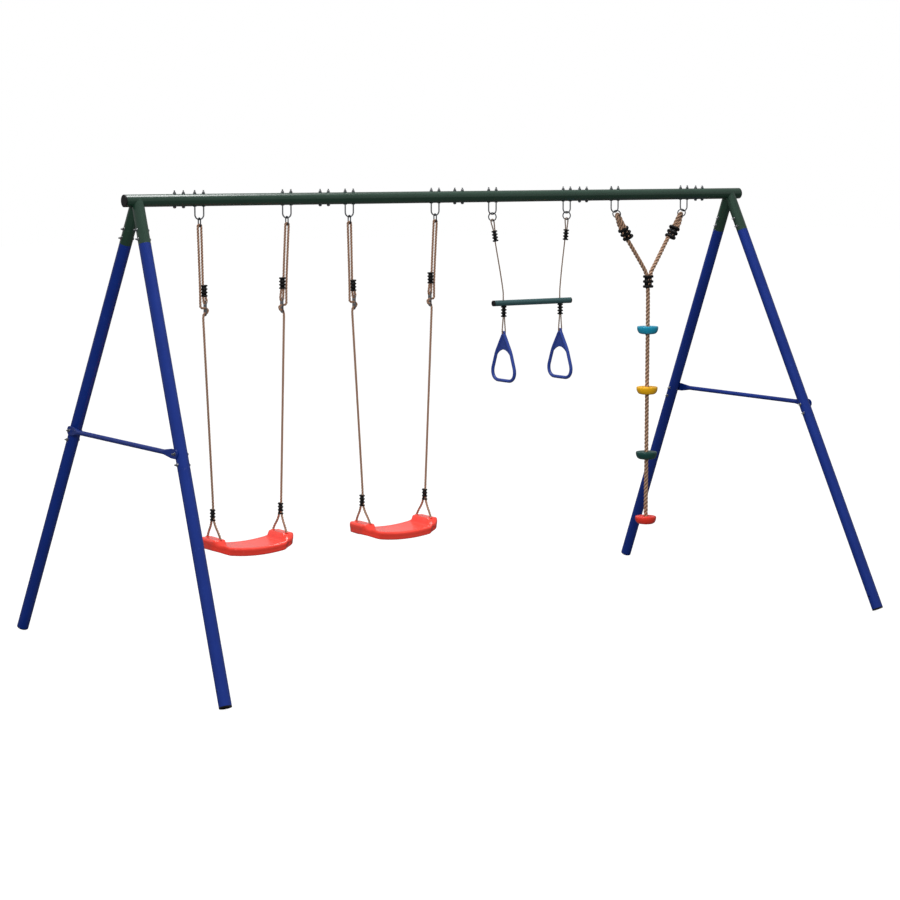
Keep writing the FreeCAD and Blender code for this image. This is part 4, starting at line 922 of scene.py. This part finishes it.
handleShape = {
    "hang": 1.2608, "centreX": {"left": 0.243, "right": 0.555},
    "corners": [(0, 0.004), (0.0540, -0.082), (0.1010, -0.2075), (-0.1010, -0.2075),
                (-0.0540, -0.082)],
    "radii": [0.010, 0.150, 0.044, 0.044, 0.150], "cornerSteps": 12,
    "grip": 0.0076, "gripSides": 6, "web": 0.0055, "archTop": -0.067, "archFoot": 0.118,
    "archPull": 0.0255, "archLean": 0.030, "archBead": 0.0034,
    "archSteps": 24, "archSides": 3,
    "eyeRadius": 0.0088, "eyeWire": 0.0046, "eyeSteps": 32, "eyeSides": 12,
    "columns": 40, "rows": 10,
}


def handleOutline():
    # the grip's middle line: a five-cornered loop with each corner rounded
    bm = bmesh.new()
    bm.faces.new([bm.verts.new((0, across, up)) for across, up in handleShape["corners"]])
    for (across, up), radius in zip(handleShape["corners"], handleShape["radii"]):
        bm.verts.ensure_lookup_table()
        vert = min(bm.verts, key=lambda item: (item.co - Vector((0, across, up))).length)
        ends = [edge.other_vert(vert).co - vert.co for edge in vert.link_edges]
        turn = math.pi - ends[0].angle(ends[1])
        bmesh.ops.bevel(bm, geom=[vert], offset=radius * math.tan(turn / 2),
                        segments=handleShape["cornerSteps"], profile=0.5, affect="VERTICES",
                        material=-1)
    bm.faces.ensure_lookup_table()
    outline = [vert.co.copy() for vert in bm.faces[0].verts]
    bm.free()
    return outline


def tubeMesh(name, points, radius, sides, closed):
    data = newCurve(name, radius, sides)
    addSpline(data, "POLY", points).use_cyclic_u = closed
    return curveMesh(name, data)


def archPoint(share, foot, lean):
    # a point on the web's lower edge, from -1 at the left foot to 1 at the right
    reach = abs(share)
    top = Vector((0, 0, handleShape["archTop"]))
    pull = top + Vector((0, handleShape["archPull"], 0))
    rest = 1 - reach
    point = (top * rest ** 3 + pull * 3 * rest ** 2 * reach + lean * 3 * rest * reach ** 2
             + foot * reach ** 3)
    point.y *= math.copysign(1, share)
    return point


def addHandle(side):
    outline = handleOutline()
    right = sorted((point for point in outline if point.y > 0), key=lambda point: -point.z)
    upper = [point for point in right if point.z > -handleShape["archFoot"]]
    below = next(point for point in right if point.z <= -handleShape["archFoot"])
    slope = (below - upper[-1]).normalized()
    foot = upper[-1] + slope * ((upper[-1].z + handleShape["archFoot"]) / -slope.z)
    lean = foot - slope * handleShape["archLean"]
    peak = Vector((0, 0, max(point.z for point in outline)))
    rail = [peak] + upper + [foot]
    lengths = [0.0]
    for start, end in zip(rail, rail[1:]):
        lengths.append(lengths[-1] + (end - start).length)

    def railPoint(share):
        goal = abs(share) * lengths[-1]
        for index in range(1, len(rail)):
            if goal <= lengths[index] + 1e-9:
                run = lengths[index] - lengths[index - 1]
                point = rail[index - 1].lerp(rail[index], (goal - lengths[index - 1]) / run)
                return Vector((0, math.copysign(point.y, share), point.z))
        return Vector((0, math.copysign(foot.y, share), foot.z))

    web = bmesh.new()
    bmesh.ops.create_grid(web, x_segments=handleShape["columns"], y_segments=handleShape["rows"],
                          size=1)
    for vert in web.verts:
        share, drop = vert.co.x, (1 - vert.co.y) / 2
        vert.co = railPoint(share).lerp(archPoint(share, foot, lean), drop)
    bmesh.ops.remove_doubles(web, verts=web.verts, dist=1e-5)
    bmesh.ops.recalc_face_normals(web, faces=web.faces)
    half = handleShape["web"] / 2
    bmesh.ops.translate(web, vec=(-half, 0, 0), verts=web.verts)
    bmesh.ops.solidify(web, geom=web.faces[:], thickness=handleShape["web"])
    middle = sum((vert.co.x for vert in web.verts)) / len(web.verts)
    bmesh.ops.translate(web, vec=(-middle, 0, 0), verts=web.verts)
    joinMesh(web, tubeMesh("gripLoop", outline, handleShape["grip"], handleShape["gripSides"],
                           True))
    steps = handleShape["archSteps"]
    arch = [archPoint(step / steps - 1, foot, lean) for step in range(2 * steps + 1)]
    joinMesh(web, tubeMesh("archBead", arch, handleShape["archBead"], handleShape["archSides"],
                           False))
    ringBead(web, Vector((0, 0, 0)), Vector((1, 0, 0)), handleShape["eyeRadius"],
             handleShape["eyeWire"], handleShape["eyeSteps"], handleShape["eyeSides"])
    bmesh.ops.recalc_face_normals(web, faces=web.faces)
    bmesh.ops.translate(web, vec=(handleShape["centreX"][side], 0, handleShape["hang"]),
                        verts=web.verts)
    handle = f"ring_handle_{side}"
    finishPiece(meshPiece(f"{handle}_moulded", web), "handlePlastic", "handle_plastic", handle,
                handle)


for handleSide in ("left", "right"):
    addHandle(handleSide)
print("ring handles ready")


# Bolts and nuts

fastener = {
    "shank": 0.003, "nutAcross": 0.010, "nutHeight": 0.005, "nutRound": 0.0005,
    "headRadius": 0.0065, "headHeight": 0.0045,
    "washerRadius": 0.0072, "washerHeight": 0.0012, "washerTaper": 0.0004, "washerSides": 20,
    "threadPast": 0.008, "threadPitch": 0.001, "threadDepth": 0.00035, "threadCrest": 0.0001,
    "threadSides": 14, "threadEnd": 0.75,
}
frameShape = {
    "beamHeight": 1.866, "tubeRadius": 0.025, "saddle": 0.002, "segmentPitch": 0.680,
    "seam": 0.054, "boltHalfPitch": 0.020,
    "apex": 1.546, "footX": 1.676, "footY": 0.913,
    "socketBolts": (0.128, 0.168), "legBolts": (1.068, 1.112), "bracePlate": 0.0041,
    "socketEnd": 0.190, "legSeam": 1.134,
    "rollInset": 0.0001, "rollWire": 0.0005, "rollSteps": 64, "rollSides": 8,
}
uBoltCentres = [place["centre"] + side * place["span"] / 2
                for place in (*swings.values(), trapeze, climber) for side in (-1, 1)]


def addWasher(part):
    high, radius = fastener["washerHeight"], fastener["washerRadius"]
    made = bmesh.ops.create_cone(part, cap_ends=True, segments=fastener["washerSides"], depth=high,
                                 radius1=radius, radius2=radius - fastener["washerTaper"])
    bmesh.ops.translate(part, vec=(0, 0, high / 2), verts=made["verts"])


def addNut(bm, seat, along):
    # hexagon nut on a washer, with the thread's end standing out of it
    part = bmesh.new()
    corner = fastener["nutAcross"] / 2 / math.cos(math.pi / 6)
    bmesh.ops.create_cone(part, cap_ends=True, segments=6, depth=fastener["nutHeight"],
                          radius1=corner, radius2=corner)
    bmesh.ops.bevel(part, geom=part.edges[:], offset=fastener["nutRound"], segments=2, profile=0.5,
                    affect="EDGES", material=-1)
    bmesh.ops.translate(part, vec=(0, 0, fastener["washerHeight"] + fastener["nutHeight"] / 2),
                        verts=part.verts)
    addWasher(part)
    shank, pitch = fastener["shank"], fastener["threadPitch"]
    low = fastener["washerHeight"] + fastener["nutHeight"]
    high = fastener["nutHeight"] + fastener["threadPast"]
    outline = [(0.0, low - pitch)]
    for turn in range(int((high - low) / pitch)):
        start = low + turn * pitch
        outline += [(shank - fastener["threadDepth"], start),
                    (shank + fastener["threadCrest"], start + pitch / 2)]
    outline += [(shank * fastener["threadEnd"], high), (0.0, high)]
    ring = [part.verts.new((radius, 0, height)) for radius, height in outline]
    edges = [part.edges.new(pair) for pair in zip(ring, ring[1:])]
    bmesh.ops.spin(part, geom=ring + edges, cent=(0, 0, 0), axis=upwards, angle=math.tau,
                   steps=fastener["threadSides"], use_merge=True)
    bmesh.ops.remove_doubles(part, verts=part.verts, dist=1e-6)
    placePart(bm, part, seat, along)


def addHead(bm, seat, along):
    # domed head on a washer
    part = bmesh.new()
    bmesh.ops.create_uvsphere(part, u_segments=20, v_segments=12, radius=fastener["headRadius"])
    bmesh.ops.scale(part, vec=(1, 1, fastener["headHeight"] / fastener["headRadius"]),
                    verts=part.verts)
    bmesh.ops.bisect_plane(part, geom=part.verts[:] + part.edges[:] + part.faces[:],
                           plane_co=(0, 0, 0), plane_no=upwards, clear_inner=True)
    bmesh.ops.holes_fill(part, edges=[edge for edge in part.edges if edge.is_boundary], sides=0)
    bmesh.ops.translate(part, vec=(0, 0, fastener["washerHeight"]), verts=part.verts)
    addWasher(part)
    placePart(bm, part, seat, along)


def placePart(bm, part, seat, along):
    # seats a part at a point, with its top facing along
    bmesh.ops.recalc_face_normals(part, faces=part.faces)
    along = Vector(along).normalized()
    bmesh.ops.transform(part, matrix=turnTo(Vector(seat), along, along.orthogonal()),
                        verts=part.verts)
    joinPart(bm, part)


def legFrame(side, face):
    # a leg's top, the way down it, and the way its bolts face
    high, apexX, footX = frameShape["beamHeight"], frameShape["apex"], frameShape["footX"]
    apex = Vector((side * apexX, 0, high))
    foot = Vector((side * footX, face * frameShape["footY"], 0))
    normal = Vector((high, 0, side * (footX - apexX))).normalized()
    return apex, (foot - apex).normalized(), normal


def zincPiece(name, bm, node):
    finishPiece(meshPiece(name, bm, False), "zinc", "zinc", "frame", node)


def addFasteners():
    nuts, heads = bmesh.new(), bmesh.new()
    beamHeight, half = frameShape["beamHeight"], frameShape["boltHalfPitch"]
    stand = frameShape["tubeRadius"] + frameShape["saddle"]
    joints = [step * frameShape["segmentPitch"] + side * half
              for step in range(-2, 3) for side in (-1, 1)]
    hooks = [centre + side * half for centre in uBoltCentres for side in (-1, 1)]
    for reach in joints:
        addHead(heads, (reach, 0, beamHeight - stand), (0, 0, -1))
    for reach in joints + hooks:
        addNut(nuts, (reach, 0, beamHeight + stand), upwards)
    zincPiece("beam_hexNuts", nuts, "beam_nuts")
    zincPiece("beam_domedBolts", heads, "beam_joint_bolts")
    nuts = bmesh.new()
    for label, node, reaches in (
            ("socket_domedBolts", "socket_bolts", frameShape["socketBolts"]),
            ("legJoint_domedBolts", "leg_joint_bolts", frameShape["legBolts"])):
        heads = bmesh.new()
        for side, face in corners:
            apex, down, normal = legFrame(side, face)
            for reach in reaches:
                centre = apex + down * reach
                out = back = frameShape["tubeRadius"]
                if reach == frameShape["legBolts"][0]:  # this bolt also holds the brace
                    out += frameShape["bracePlate"] if side > 0 else 0
                    back += frameShape["bracePlate"] if side < 0 else 0
                addHead(heads, centre + normal * out, normal)
                addNut(nuts, centre - normal * back, -normal)
        zincPiece(label, heads, node)
    zincPiece("leg_hexNuts", nuts, "leg_nuts")


addFasteners()
print("fasteners ready")


# Rolled edges where one tube sleeves over the next

def addRoll(bm, centre, axis):
    ringBead(bm, centre, axis, frameShape["tubeRadius"] - frameShape["rollInset"],
             frameShape["rollWire"], frameShape["rollSteps"], frameShape["rollSides"])


def addSeams():
    beamEdges, legEdges = bmesh.new(), bmesh.new()
    for step in range(-2, 3):
        reach = step * frameShape["segmentPitch"] - frameShape["seam"]
        addRoll(beamEdges, Vector((reach, 0, frameShape["beamHeight"])), Vector((1, 0, 0)))
    for side, face in corners:
        apex, down, normal = legFrame(side, face)
        addRoll(beamEdges, apex + down * frameShape["socketEnd"], down)
        addRoll(legEdges, apex + down * frameShape["legSeam"], down)
    finishPiece(meshPiece("beam_rolledEdges", beamEdges), "beamPaint", "beam_paint", "frame")
    finishPiece(meshPiece("leg_rolledEdges", legEdges), "legPaint", "leg_paint", "frame")


addSeams()
print("rolled edges ready")


# Finishes on the CAD nodes

nodeFinishes = {
    "beamPaint": ["beam_end_left", "beam_end_right", "beam_tube_1", "beam_tube_2", "beam_tube_3",
                  "beam_tube_4"],
    "legPaint": [f"{part}_leg_{side}_{face}" for part in ("upper", "lower")
                 for side in ("left", "right") for face in ("front", "back")]
                + ["cross_brace_left", "cross_brace_right"],
    "blackPlastic": ["beam_caps", "foot_plugs", "trapeze_bar_caps"],
    "darkZinc": ["swing_1_links", "swing_2_links", "trapeze_rings", "climber_rings",
                 "saddle_washers"],
    "zinc": ["swing_1_u_bolts", "swing_2_u_bolts", "trapeze_u_bolts", "climber_u_bolts",
             "swing_1_adjusters", "swing_2_adjusters"],
    "barPaint": ["trapeze_bar"],
}
for finishName, names in nodeFinishes.items():
    for nodeName in names:
        slots = nodes[nodeName].data.materials
        slots.clear()
        slots.append(materials[finishName])
print("finishes ready")
